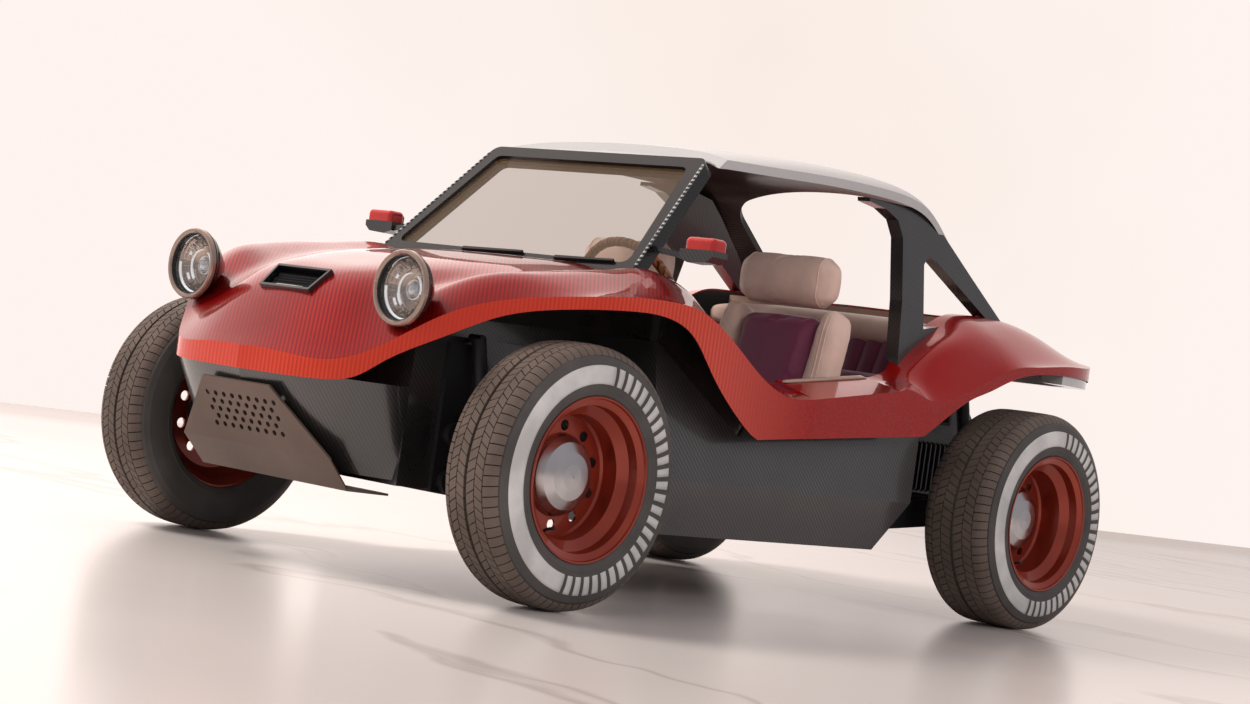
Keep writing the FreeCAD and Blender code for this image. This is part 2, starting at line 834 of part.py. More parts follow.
def build_scoop():
    """A dark intake box that fills the opening in the hood."""
    depth = SCOOP_DEPTH + SCOOP_STAND
    box = scoop_ring(value("seat_gap") + 0.1, -SCOOP_DEPTH).extrude(scoop_normal() * depth)
    mouth = scoop_ring(SCOOP_RIM, SCOOP_FLOOR - SCOOP_DEPTH).extrude(scoop_normal() * 2 * SCOOP_DEPTH)
    kept(shaped("hood_scoop", box.cut(mouth)))


NOSE_RINGS = (
    # height, then the ring's half widths and distances behind the axle
    (497, ((0, -493.7), (179, -479.7), (314, -440), (386, -378), (406, -320), (398, -270.3))),
    (420, ((0, -466), (170, -453), (290, -418), (354, -368), (392, -312), (398, -270.3))),
    (330, ((0, -412), (150, -404), (262, -378), (330, -338), (376, -298), (392, -270.3))),
    (262, ((0, -360), (130, -356), (230, -338), (300, -308), (350, -284), (380, -270.3))),
)
NOSE_FLOOR = 262
NOSE_SIDE = 350


def nose_ring(height, plan, inset):
    points = []
    for half, distance in plan:
        back = inset if half < NOSE_SIDE else inset * 0.4
        points.append(Vector(max(out(half) - inset, 0), front(distance) + back, level(height)))
    left = Part.BSplineCurve()
    left.interpolate(points)
    left_edge = left.toShape()
    close = Part.makeLine(points[-1], Vector(-points[-1].x, points[-1].y, points[-1].z))
    return Part.Wire(Part.__sortEdges__([left_edge, close, mirrored(left_edge)]))


def build_nose_lower():
    """Boat-shaped lower nose, open behind and on top."""
    wall = value("panel_wall")
    outer = Part.makeLoft([nose_ring(*ring, 0) for ring in NOSE_RINGS], True, False)
    inner = Part.makeLoft([nose_ring(*ring, wall) for ring in NOSE_RINGS], True, False)
    inner = inner.translated(Vector(0, 0.5, 0))
    above_floor = side_prism([
        (front(-560), level(NOSE_FLOOR) + wall),
        (front(40), level(NOSE_FLOOR) + wall),
        (front(40), level(DEEP)),
        (front(-560), level(DEEP)),
    ])
    kept(shaped("nose_lower", outer.cut(inner.common(above_floor))))


# The skid plate from the top of its face to its rear edge: half width, distance behind the axle, height.
SKID_TOP = (132, -498, 452)
SKID_BEND = (294, -404, 292)
SKID_BELLY = (290, -330, 218)
SKID_TAIL = (332, -230, 218)
SKID_FIELD = 92
SKID_ROWS = 5
SKID_COLUMNS = 9
SKID_POST = (150, 30, 40, -310)


def skid_corners(half, distance, up):
    return Vector(-out(half), front(distance), level(up)), Vector(out(half), front(distance), level(up))


def skid_holes():
    """Staggered rows of holes in the plate's face."""
    start = skid_corners(*SKID_TOP)[1]
    end = skid_corners(*SKID_BEND)[1]
    down = Vector(0, end.y - start.y, end.z - start.z)
    reach = down.Length
    down.normalize()
    normal = down.cross(Vector(1, 0, 0))
    radius = value("skid_hole")
    holes = []
    for row in range(SKID_ROWS):
        below_top = SKID_FIELD + (row - SKID_ROWS // 2) * value("skid_row")
        edge = start.x + (end.x - start.x) * below_top / reach
        count = SKID_COLUMNS - row % 2
        for column in range(count):
            across = (column - (count - 1) / 2) * value("skid_pitch")
            if abs(across) + 2.2 * radius < edge:
                centre = Vector(across, start.y, start.z) + down * below_top
                holes.append(Part.makeCylinder(radius, 40, centre - normal * 20, normal))
    return holes


def build_skid_plate():
    """Bent sheet: an upright perforated trapezoid, then a plate that runs back under the nose."""
    wall = value("skid_wall")
    top, bend, belly, tail = (
        skid_corners(*row) for row in (SKID_TOP, SKID_BEND, SKID_BELLY, SKID_TAIL)
    )
    inwards = Vector(0, bend[0].z - top[0].z, top[0].y - bend[0].y).normalize() * -wall
    face = flat_face([top[0], top[1], bend[1], bend[0]]).extrude(inwards)
    under = flat_face([bend[0], bend[1], belly[1], belly[0]]).extrude(Vector(0, 0, wall))
    back = flat_face([belly[0], belly[1], tail[1], tail[0]]).extrude(Vector(0, 0, wall))
    post_x, post_width, post_depth, post_start = SKID_POST
    foot_up = belly[0].z + 1
    post_height = level(NOSE_FLOOR) - value("seat_gap") - foot_up
    posts = []
    for middle in (-out(post_x), out(post_x)):
        corner = Vector(middle - post_width / 2, front(post_start), foot_up)
        posts.append(Part.makeBox(post_width, post_depth, post_height, corner))
    kept(shaped("skid_plate", joined([face.cut(skid_holes()), under, back] + posts)))


# Headlamps

LAMP_X = out_at(415)
LAMP_FACE = front_at(-371)
LAMP_UP = level_at(737)
LAMP_SKIN = (
    # the bowl's outside, from the bezel's edge to its back: below the bezel's radius, behind the face
    ("0", "18"),
    ("3", "22"),
    ("8", "34"),
    ("22", "52"),
    ("44", "74"),
    ("70", "lamp_depth - 4"),
)
LAMP_LINING = (
    ("71.8", "lamp_depth - 9.2"),
    ("47.3", "69.6"),
    ("26.1", "48.4"),
    ("lamp_lip", "30"),
)


def build_lamps():
    """A bowl with a rolled bezel on a short bracket, and a domed lens in front."""
    back = [(f"lamp_radius - {below}", behind) for below, behind in LAMP_SKIN]
    lining = [(f"lamp_radius - {below}", behind) for below, behind in LAMP_LINING]
    bezel = [
        ("lamp_radius - lamp_lip", "4"),
        ("lamp_radius - lamp_lip + 4", "0"),
        ("lamp_radius - 3", "0"),
        ("lamp_radius", "5"),
    ]
    bowl = bezel + back + [("0", "lamp_depth"), ("0", "lamp_depth - 5.5")] + lining
    inside = [(f"{across} - 3", behind) for across, behind in back]
    filled = [("0", "18")] + inside + [("0", "lamp_depth - 3")]
    edge = "lamp_radius - lamp_lip - seat_gap - 0.1"
    dome = [
        ("0", "4"),
        ("40", "6"),
        ("68", "11"),
        (edge, "17"),
        (edge, "24"),
        ("66", "17"),
        ("40", "11"),
        ("0", "9"),
    ]
    lenses = []
    for name, side in SIDES:
        centre = (f"{side} * {LAMP_X}", LAMP_FACE, LAMP_UP)
        shell = helper_body("lamp_bowl_" + name)
        room = helper_body("lamp_room_" + name)
        lens = helper_body("lamp_lens_" + name)
        for body, title, points in ((shell, "bowl", bowl), (room, "filling", filled), (lens, "dome", dome)):
            revolve(body, title, points, axis="V_Axis", role="XY_Plane")
            place(body, centre)
        post = block(
            "lamp_post_" + name, ("34", "46", "70"),
            (f"{centre[0]} - 17", f"{LAMP_FACE} + 34", f"{LAMP_UP} - lamp_radius - 24"),
        )
        bracket = cut("lamp_bracket_" + name, post, room)
        lamp = fused("lamp_on_bracket_" + name, [shell, bracket])
        kept(cut("headlamp_" + name, lamp, hood_room()))
        lenses.append(lens)
    kept(grouped("headlamp_lenses", lenses))


# Screen and wipers

FOOT_HALF = out_at(488)
FOOT_Y = front_at(371)
HEAD_HALF = out_at(408)
HEAD_Y = front_at(695)
SCREEN_RUN = f"({HEAD_Y} - {FOOT_Y})"
SCREEN_LENGTH = f"sqrt({SCREEN_RUN} ^ 2 + screen_rise ^ 2)"
SCREEN_LEAN = f"atan2(screen_rise; {SCREEN_RUN})"


def screen_outline(grow):
    """The screen's corners in its own plane, moved outwards by grow."""
    return [
        (f"{FOOT_HALF} + {grow}", f"-1 * ({grow})"),
        (f"{HEAD_HALF} + {grow}", f"{SCREEN_LENGTH} + {grow}"),
        (f"-1 * ({HEAD_HALF} + {grow})", f"{SCREEN_LENGTH} + {grow}"),
        (f"-1 * ({FOOT_HALF} + {grow})", f"-1 * ({grow})"),
    ]


def screen_sheet(name, grow, corner, behind, thickness):
    """A leaning sheet with rounded corners, its rear face this far behind the frame's front face."""
    body = helper_body(name)
    pad(body, name + "_sheet", screen_outline(grow), thickness, role="XY_Plane", midplane=False)
    round_edges(body, name + "_corners", corner, runs_along(Vector(0, 0, 1)))
    back = f"{FOOT_Y} + ({behind}) * sin({SCREEN_LEAN})"
    low = f"{COWL} - ({behind}) * cos({SCREEN_LEAN})"
    place(body, ("0", back, low), (Vector(1, 0, 0), value(SCREEN_LEAN)))
    return body


def build_screen():
    outside = screen_sheet("frame_outside", "screen_lap", "screen_corner", "screen_depth", "screen_depth")
    daylight = screen_sheet(
        "frame_daylight", "screen_lap - screen_bar", "screen_corner - 6",
        "screen_depth + 10", "screen_depth + 20",
    )
    ring = cut("frame_ring", outside, daylight)
    kept(cut("windscreen_frame", ring, hood_room()))
    pane = screen_sheet(
        "pane", "screen_lap - screen_bar - seat_gap - 0.1", "screen_corner - 5.6",
        "glass_set + glass_thickness", "glass_thickness",
    )
    kept(cut("windscreen_glass", pane, hood_room()))


def on_screen(across, up, outwards):
    """A point from the screen's middle, up from its foot line and out from its front face."""
    lean = math.radians(value(SCREEN_LEAN))
    rise = Vector(0, math.cos(lean), math.sin(lean))
    normal = Vector(0, -math.sin(lean), math.cos(lean))
    return Vector(across, value(FOOT_Y), value(COWL)) + rise * up + normal * outwards


def screen_slab(grow, back, forward):
    """The screen's outline grown all round, between two distances from its front face."""
    corners = [(value(across), value(up)) for across, up in screen_outline(str(grow))]
    rear_face, front_face = (
        [on_screen(across, up, stand) for across, up in corners] for stand in (back, forward)
    )
    return flat_face(rear_face).extrude(front_face[0] - rear_face[0])


WIPER_SPANS = ((0.42, 0.88), (-0.36, 0.14))
WIPER_ARM = 5
WIPER_BLADE = 3.5
WIPER_STAND = 8


def build_wipers():
    """Two tapering arms that rest along the foot of the screen."""
    gap = value("seat_gap")
    reach = value(FOOT_HALF) - 22
    arms = []
    for start_share, end_share in WIPER_SPANS:
        start, end = reach * start_share, reach * end_share
        foot = flat_face([
            on_screen(start, 22 - WIPER_ARM, gap),
            on_screen(end, 30 - WIPER_BLADE, gap),
            on_screen(end, 30 + WIPER_BLADE, gap),
            on_screen(start, 22 + WIPER_ARM, gap),
        ])
        stand = on_screen(0, 0, WIPER_STAND) - on_screen(0, 0, 0)
        arms.append(foot.extrude(stand))
    kept(shaped("wipers", Part.makeCompound(arms)))


# Hardtop and hoops

ROOF_SHARES = (0, 0.4, 0.7, 0.88, 1.0)
ROOF_STATIONS = (
    # distance behind the front axle, half width, then heights
    (690, 418, 1252, 1249, 1243, 1236, 1226),
    (830, 438, 1275, 1272, 1264, 1253, 1240),
    (1000, 455, 1294, 1291, 1280, 1266, 1248),
    (1200, 466, 1312, 1308, 1296, 1280, 1258),
    (1400, 472, 1324, 1319, 1305, 1286, 1262),
    (1580, 474, 1328, 1322, 1306, 1284, 1256),
    (1700, 474, 1322, 1315, 1294, 1266, 1228),
    (1790, 473, 1305, 1295, 1264, 1222, 1170),
    (1880, 472, 1268, 1254, 1210, 1156, 1098),
    (1980, 470, 1205, 1190, 1138, 1080, 1024),
    (2080, 468, 1128, 1114, 1062, 1004, 952),
    (2180, 466, 1048, 1035, 984, 930, 880),
    (2280, 464, 968, 956, 906, 856, 808),
)
# The open back between the hardtop's two legs: half width, distance behind the front axle.
ROOF_OPENING = ((396, 1800), (408, 2400))
ROOF_OPENING_CORNER = 70


def build_roof():
    """Shell that sweeps down behind the cabin in two legs beside the open back."""
    slab = loft_surface(ROOF_STATIONS, ROOF_SHARES, front).extrude(Vector(0, 0, -value("roof_wall")))
    opening = plan_prism(ROOF_OPENING, front, DEEP)
    upright = [
        edge for edge in opening.Edges
        if runs_along(Vector(0, 0, 1))(edge) and edge.CenterOfMass.y < front(ROOF_OPENING[0][1]) + 1
    ]
    opening = opening.makeFillet(ROOF_OPENING_CORNER, upright)
    ahead = screen_slab(value("screen_lap") + 600, -value("screen_depth + seat_gap"), 600)
    kept(shaped("roof_panel", slab.cut([opening, ahead, below_rear(value("seat_gap"))])))


HOOP_OUTLINE = (
    # distance behind the rear axle, height
    (-536, 700),
    (-492, 941),
    (-476, 1130),
    (-498, 1180),
    (-560, 1206),
    (-640, 1216),
    (-640, 1228),
    (-420, 1230),
    (-330, 1216),
    (-262, 1170),
    (-110, 1052),
    (58, 925),
    (58, 880),
    (-60, 870),
    (-400, 700),
)
HOOP_WINDOW = ((-386, 868), (-370, 1063), (-346, 1092), (-300, 1080), (-30, 930), (-120, 918))
# Half width of the hoops' outer faces at deck height and near the roof.
HOOP_FOOT = (560, 760)
HOOP_HEAD = (460, 1230)


def build_hoops():
    """Plates that lean inwards, each with a triangular window between its two legs."""
    lean = (HOOP_HEAD[0] - HOOP_FOOT[0]) / (HOOP_HEAD[1] - HOOP_FOOT[1])

    def plate(points, outwards):
        corners = [
            Vector(out(HOOP_FOOT[0] + lean * (up - HOOP_FOOT[1])) + outwards, rear(distance), level(up))
            for distance, up in points
        ]
        return Part.Face(Part.makePolygon(corners + corners[:1]))

    wall = value("hoop_wall")
    window = plate(HOOP_WINDOW, 20).extrude(Vector(-wall - 60, 0, 0))
    under_roof = value("roof_wall + seat_gap")
    ceiling = loft_surface(ROOF_STATIONS, ROOF_SHARES, front, under_roof)
    over_roof = ceiling.extrude(Vector(0, 0, level(200)))
    left = plate(HOOP_OUTLINE, 0).extrude(Vector(-wall, 0, 0))
    left = left.cut([window, over_roof, below_rear(value("seat_gap"))])
    kept(shaped("hoop_left", left))
    kept(shaped("hoop_right", mirrored(left)))


# Mirrors

MIRROR_X = out_at(632)
MIRROR_Y = front_at(497)
MIRROR_UP = level_at(962)


def build_mirrors():
    """A chamfered housing on an arm from the screen's pillar, under a rounded cap."""
    pillar_share = f"(({MIRROR_UP} - 12 - {COWL}) / screen_rise)"
    pillar = value(f"{FOOT_HALF} + ({HEAD_HALF} - {FOOT_HALF}) * {pillar_share} + screen_lap")
    gap = value("seat_gap")
    keep_off = screen_slab(value("screen_lap") + gap, -value("screen_depth") - gap, gap)
    caps = []
    for name, side in SIDES:
        housing = helper_body("mirror_housing_" + name)
        wedge = [
            (f"{side} * -62", "-4"),
            (f"{side} * -62", "-30"),
            (f"{side} * -30", "-40"),
            (f"{side} * 34", "-36"),
            (f"{side} * 54", "-20"),
            (f"{side} * 54", "-4"),
        ]
        pad(housing, "wedge", wedge, "mirror_depth + 4", role="XZ_Plane")
        place(housing, (f"{side} * {MIRROR_X}", MIRROR_Y, MIRROR_UP))
        root = Vector(side * (value(MIRROR_X) - 50), value(MIRROR_Y) - 8, value(MIRROR_UP) - 24)
        tip = Vector(side * (pillar - 12), value(MIRROR_Y) - 20, value(MIRROR_UP) - 12)
        arm = shaped("mirror_arm_" + name, bar(root, tip, 26, 16).cut(keep_off))
        kept(fused("mirror_" + name, [housing, arm]))
        cap = helper_body("mirror_cap_" + name)
        half = "mirror_width / 2"
        height = "mirror_cap_height"
        face = [(f"-{half}", "0"), (half, "0"), (half, height), (f"-{half}", height)]
        pad(cap, "crown", face, "mirror_depth", role="XZ_Plane")
        round_edges(cap, "cap_corners", "14", lambda edge: edge.CenterOfMass.z > 1)
        place(cap, (f"{side} * ({MIRROR_X} + 2)", MIRROR_Y, f"{MIRROR_UP} - 4 + seat_gap"))
        caps.append(cap)
    kept(grouped("mirror_caps", caps))


# Tub and footwell

TUB_FRONT = 412
TUB_FOLD = 345
TUB_EDGE = 598
TUB_LID = 700
# The tub's outline from the side: distance from its axle, height.
TUB_REAR_LINE = ((-580, None), (-480, 350), (-432, 545), (-432, 590), (-600, 668), (SEAM_REAR, 672))
TUB_FRONT_LINE = ((SEAM_FRONT, 616), (850, 566), (758, 479), (420, 700), (TUB_FRONT, 700))
TUB_SLAB = ((-560, None), (-536, None), (-446, 650), (-470, 650))
HATCH_INSET = 30
HATCH_LEVELS = (260, 560)


def build_tub():
    """Folded sandwich tub with a sloping back, open to the footwell in front."""
    half = value("tub_half")
    tuck = value("tub_tuck")
    floor = value("tub_floor")
    wall = value("tub_wall")
    lid = level(TUB_LID)
    start = front(TUB_FRONT)
    end = rear(-420)

    def section(start_y, inset, low, high):
        slope = tuck / (level(TUB_EDGE) - level(TUB_FOLD))
        top_half = half - (high - level(TUB_FOLD)) * slope - inset
        left = [(half - tuck - inset, low), (half - inset, level(TUB_FOLD)), (top_half, high)]
        right = [(-across, up) for across, up in left]
        return flat_face([(across, start_y, up) for across, up in left + right[::-1]])

    outer = section(start, 0, floor, lid).extrude(Vector(0, end - start, 0))
    inner = section(start + wall, wall, floor + wall, lid + 1).extrude(Vector(0, end - start - 2 * wall, 0))
    profile = [(start, floor)]
    profile += [(rear(distance), level(up) if up else floor) for distance, up in TUB_REAR_LINE]
    profile += [(front(distance), level(up)) for distance, up in TUB_FRONT_LINE]
    back = side_prism([(rear(distance), level(up) if up else floor) for distance, up in TUB_SLAB])
    tub = outer.common(side_prism(profile)).cut(inner.cut(back))
    hatch_half = value("footwell_half") - HATCH_INSET
    hatch_low, hatch_high = level(HATCH_LEVELS[0]), level(HATCH_LEVELS[1])
    corner = Vector(-hatch_half, start - wall, hatch_low)
    hatch = Part.makeBox(2 * hatch_half, 4 * wall, hatch_high - hatch_low, corner)
    kept(shaped("tub", joined([tub.cut(hatch)])))


FOOTWELL_Y = front_at(-270)
FOOTWELL_LOW = level_at(250)
FOOTWELL_HIGH = level_at(640)
BEAM_Y = f"({FRONT_AXLE} - beam_lead)"


def build_footwell():
    """Box ahead of the tub, with round passages for the two beam tubes."""
    length = f"({front_at(TUB_FRONT)} - 0.5 - {FOOTWELL_Y})"
    height = f"({FOOTWELL_HIGH} - {FOOTWELL_LOW})"
    outer = block(
        "footwell_outside",
        ("2 * footwell_half", length, height),
        ("-1 * footwell_half", FOOTWELL_Y, FOOTWELL_LOW),
    )
    inner = block(
        "footwell_inside",
        ("2 * (footwell_half - footwell_wall)", length, f"{height} - 2 * footwell_wall"),
        ("footwell_wall - footwell_half", f"{FOOTWELL_Y} + footwell_wall", f"{FOOTWELL_LOW} + footwell_wall"),
    )
    passages = [
        cylinder(
            "beam_passage_" + name, "beam_radius + seat_gap", "2 * (footwell_half + 20)",
            ("-1 * footwell_half - 20", BEAM_Y, f"tyre_radius + {offset} * arm_spread"), Vector(1, 0, 0),
        )
        for name, offset in (("lower", -0.5), ("upper", 0.5))
    ]
    kept(cut("footwell", cut("footwell_shell", outer, inner), fused("beam_passages", passages)))


# Running gear

ARM_SECTION = (30, 24)
EYE_RADIUS = 22
EYE_HEIGHT = 24
TOWER = (14, 90, 380)
TOWER_DROP = 90
# Front dampers: outside the beam's end, distance behind the axle, height; the pin's overhangs and radius.
FRONT_DAMPER_FOOT = (68, -60)
FRONT_DAMPER_HEAD = (-90, 640)
FRONT_DAMPER_PIN = (6, 16, 12)


def build_front_beam():
    """Two torsion tubes with trailing arms, shock towers and dampers."""
    beam_y = value(BEAM_Y)
    hub_up = value("tyre_radius")
    axle_y = front(0)
    beam_half = value("beam_half")
    pin_x = value("kingpin_offset")
    eye_span = value("kingpin_span + 2 * seat_gap") + EYE_HEIGHT
    pieces = []
    for offset in (-0.5, 0.5):
        up = hub_up + offset * value("arm_spread")
        eye_up = hub_up + offset * eye_span
        pieces.append(rod((-beam_half, beam_y, up), (beam_half, beam_y, up), value("beam_radius")))
        for side in (-1, 1):
            root = (side * (beam_half - 16), beam_y, up)
            pieces.append(bar(root, (side * (pin_x - 6), axle_y, eye_up), *ARM_SECTION))
            eye = Vector(side * pin_x, axle_y, eye_up - EYE_HEIGHT / 2)
            pieces.append(Part.makeCylinder(EYE_RADIUS, EYE_HEIGHT, eye))
    thick, depth, tall = TOWER
    for side in (-1, 1):
        face = side * value("footwell_half + seat_gap")
        corner = Vector(min(face, face + side * thick), beam_y - depth / 2, hub_up - TOWER_DROP)
        pieces.append(Part.makeBox(thick, depth, tall, corner))
        spread, foot_y = FRONT_DAMPER_FOOT
        head_y, head_up = FRONT_DAMPER_HEAD
        inner, outer, pin_radius = FRONT_DAMPER_PIN
        foot = (side * (beam_half + spread), front(foot_y), hub_up - value("arm_spread") / 2 - 6)
        head = (side * beam_half, front(head_y), level(head_up))
        pieces.append(rod(foot, head, value("damper_radius")))
        pin_start = (side * (value("footwell_half") + inner), *head[1:])
        pieces.append(rod(pin_start, (side * (beam_half + outer), *head[1:]), pin_radius))
    room_radius = value("kingpin_radius") + 6
    room_height = value("kingpin_span + 2 * seat_gap")
    room = [
        Part.makeCylinder(room_radius, room_height, Vector(side * pin_x, axle_y, hub_up - room_height / 2))
        for side in (-1, 1)
    ]
    kept(shaped("front_beam", joined(pieces).cut(room)))


TORSION_UP = 300
TORSION_HALF = 470
TORSION_PADS = (-360, 0, 360)
PAD_SECTION = (90, 70)
AXLE_TUBE_RADIUS = 30
DRUM_RADIUS = 96
DRUM_WIDTH = 22
SPRING_PLATE = (14, 84)
HUB_CARRIER = (40, 60)
FORK_SECTION = (28, 50)
REAR_DAMPER_FOOT = (500, 40)
REAR_DAMPER_HEAD = (430, 20, 700)
GEARBOX_HALF = 110


def build_rear_suspension():
    """Torsion tube behind the tub's back, spring plates, axle tubes, drums and dampers."""
    hub_up = value("tyre_radius")
    axle_y = rear(0)
    gap = value("seat_gap")
    tube_radius = value("torsion_radius")
    foot = Vector(0, rear(TUB_REAR_LINE[0][0]), value("tub_floor"))
    knee = Vector(0, rear(TUB_REAR_LINE[1][0]), level(TUB_REAR_LINE[1][1]))
    slope = knee - foot
    outwards = Vector(0, slope.z, -slope.y).normalize()
    on_wall = foot + slope * ((level(TORSION_UP) - foot.z) / slope.z)
    tube = on_wall + outwards * (tube_radius + gap)
    half = out(TORSION_HALF)
    pieces = [rod((-half, tube.y, tube.z), (half, tube.y, tube.z), tube_radius)]
    for across in TORSION_PADS:
        root = on_wall + outwards * gap
        pieces.append(bar((out(across), tube.y, tube.z), (out(across), root.y, root.z), *PAD_SECTION))
    hub_x = value("rear_rim_face - rear_dish") - 25
    for side in (-1, 1):
        hub = side * hub_x
        gear = side * (out(GEARBOX_HALF) + gap)
        pieces.append(rod((gear, axle_y, hub_up), (hub, axle_y, hub_up), AXLE_TUBE_RADIUS))
        pieces.append(rod((hub - side * DRUM_WIDTH, axle_y, hub_up), (hub, axle_y, hub_up), DRUM_RADIUS))
        stub = (hub + side * 24, axle_y, hub_up)
        pieces.append(rod((hub - side * 5, axle_y, hub_up), stub, value("spindle_radius")))
        plate_start = (side * (half - 8), tube.y, tube.z)
        plate_end = (side * (hub_x - 116), rear(-40), hub_up)
        pieces.append(bar(plate_start, plate_end, *SPRING_PLATE))
        carrier_start = (side * (hub_x - 124), rear(-60), hub_up)
        pieces.append(bar(carrier_start, (hub - side * 14, axle_y, hub_up), *HUB_CARRIER))
        foot_x, foot_y = REAR_DAMPER_FOOT
        head_x, head_y, damper_up = REAR_DAMPER_HEAD
        foot = (side * out(foot_x), rear(foot_y), hub_up - 20)
        head = (side * out(head_x), rear(head_y), level(damper_up))
        pieces.append(rod(foot, head, value("damper_radius") + 2))
        fork_x = gear + side * FORK_SECTION[0] / 2
        pieces.append(bar((fork_x, tube.y, tube.z), (fork_x, rear(90), tube.z), *FORK_SECTION))
    kept(shaped("rear_suspension", joined(pieces)))


def build_engine():
    """The closed engine and gearbox as one plain block."""
    engine = helper_body("engine_case")
    half = out_at(190)
    shoulder = out_at(128)
    low, knee, top = level_at(270), level_at(330), level_at(650)
    face = [
        (shoulder, low),
        (half, knee),
        (half, level_at(560)),
        (shoulder, top),
        (f"-1 * {shoulder}", top),
        (f"-1 * {half}", level_at(560)),
        (f"-1 * {half}", knee),
        (f"-1 * {shoulder}", low),
    ]
    pad(engine, "case", face, "400", role="XZ_Plane")
    place(engine, ("0", f"{rear_at(110)} + 200", "0"))
    gearbox = block(
        "gearbox", (f"2 * {out_at(GEARBOX_HALF)}", f"{rear_at(110)} + 1 - {rear_at(-370)}", "220"),
        (f"-1 * {out_at(GEARBOX_HALF)}", rear_at(-370), level_at(240)),
    )
    kept(fused("engine_block", [engine, gearbox]))


VALANCE_LOW = 766
VALANCE_FRONT = 170
VALANCE_HOLLOW = ((620, 160), (580, 380), (460, 490), (200, 548))


def build_rear_valance():
    """Pale strip inside the tail's lip that carries the lamps."""
    lip_block = shell_prism(REAR_PLAN, rear, value("panel_wall + seat_gap"), SEAM_REAR)
    band = side_prism([
        (rear(VALANCE_FRONT), level(VALANCE_LOW)),
        (rear(VALANCE_FRONT), level(VALANCE_LOW + 90)),
        (rear(DEEP), level(VALANCE_LOW + 90)),
        (rear(DEEP), level(VALANCE_LOW)),
    ])
    hollow = plan_prism(VALANCE_HOLLOW, rear)
    strip = shaped("valance_strip", lip_block.common(band).cut(hollow))
    kept(cut("rear_valance", strip, deck_zone()))


# Cabin

WHEEL_X = out_at(300)
WHEEL_Y = front_at(597)
WHEEL_UP = level_at(800)
DASH_HALF = out_at(480)
DASH_SIDE = (
    (f"{front_at(434)} + seat_gap", level_at(640)),
    (f"{front_at(434)} + seat_gap", level_at(872)),
    (front_at(478), level_at(866)),
    (front_at(492), level_at(800)),
    (front_at(470), level_at(640)),
)
COLUMN_REACH = 182
BOSS_BACK = 31.5


def along_column(distance):
    """A place on the steering column's axis, this far behind the wheel's hub."""
    back = f"{WHEEL_Y} + {distance} * cos(wheel_rake)"
    return (WHEEL_X, back, f"{WHEEL_UP} + {distance} * sin(wheel_rake)")


def column_axis():
    rake = math.radians(value("wheel_rake"))
    return Vector(0, math.cos(rake), math.sin(rake))


def build_dashboard():
    """Panel under the screen, with a round gauge pod and the steering column."""
    panel = helper_body("dash_panel")
    pad(panel, "panel", DASH_SIDE, f"2 * {DASH_HALF}")
    column = cylinder(
        "steering_column", "column_radius", f"{COLUMN_REACH} - {BOSS_BACK} - 0.5",
        along_column(-COLUMN_REACH), column_axis(),
    )
    pod = cylinder("gauge_pod", "62", "56", (WHEEL_X, front_at(464), level_at(818)), Vector(0, 1, 0))
    kept(fused("dashboard", [panel, column, pod]))


def build_steering_wheel():
    """A round grip on three flat spokes."""
    axis = column_axis()
    ring = doc.addObject("Part::Torus", "wheel_ring")
    ring.setExpression("Radius1", bound("wheel_radius"))
    ring.setExpression("Radius2", bound("wheel_grip"))
    ring.Placement = Placement(Vector(), Rotation(Vector(0, 0, 1), axis))
    place(ring, along_column(0))
    boss = cylinder("wheel_boss", "34", "44", along_column(-BOSS_BACK), axis)
    hub = Vector(*(value(expression) for expression in along_column(0)))
    radius = value("wheel_radius")
    root = hub - axis * 14
    spokes = []
    for direction in (Vector(1, 0, 0), Vector(-1, 0, 0), Vector(1, 0, 0).cross(axis) * -1):
        side = axis.cross(direction).normalize() * 13
        tip = hub + direction * radius
        corners = [root + side, root - side, tip - side * 0.8, tip + side * 0.8]
        spokes.append(flat_face(corners).extrude(axis * 4))
    kept(fused("steering_wheel", [ring, boss, shaped("wheel_spokes", joined(spokes))]))


SEAT_X = out_at(325)
SEAT_WIDTH = out_at(440)
SEAT_TOP = level_at(868)
SEAT_FLOOR = "(tub_floor + tub_wall + seat_gap)"
SEAT_SIDE = (
    (front_at(760), SEAT_FLOOR),
    (front_at(1240), SEAT_FLOOR),
    (front_at(1300), level_at(300)),
    (front_at(1345), level_at(560)),
    (front_at(1330), SEAT_TOP),
    (front_at(1250), SEAT_TOP),
    (front_at(1210), level_at(640)),
    (front_at(1170), level_at(420)),
    (front_at(1090), level_at(388)),
    (front_at(790), level_at(400)),
    (front_at(748), level_at(360)),
)


def build_seats():
    """Two bucket seats with a loose pillow on each."""
    pillows = []
    for name, side in SIDES:
        seat = new_body("seat_" + name)
        pad(seat, "cushion_and_back", SEAT_SIDE, SEAT_WIDTH)
        place(seat, (f"{side} * {SEAT_X}", "0", "0"))
        pillow = helper_body("pillow_" + name)
        foot = f"{SEAT_TOP} + seat_gap"
        face = [
            (front_at(1200), foot),
            (f"{front_at(1200)} + headrest_depth", foot),
            (f"{front_at(1200)} + headrest_depth", f"{foot} + headrest_height"),
            (front_at(1200), f"{foot} + headrest_height"),
        ]
        pad(pillow, "pillow", face, "headrest_width")
        round_edges(pillow, "soft_edges", "headrest_depth * 0.23", lambda edge: True)
        place(pillow, (f"{side} * {SEAT_X}", "0", "0"))
        pillows.append(pillow)
    kept(grouped("headrests", pillows))


SHELF_FRONT = f"({rear_at(-432)} + seat_gap)"
SHELF_UP = level_at(588)
BENCH_BACK = rear_at(-90)


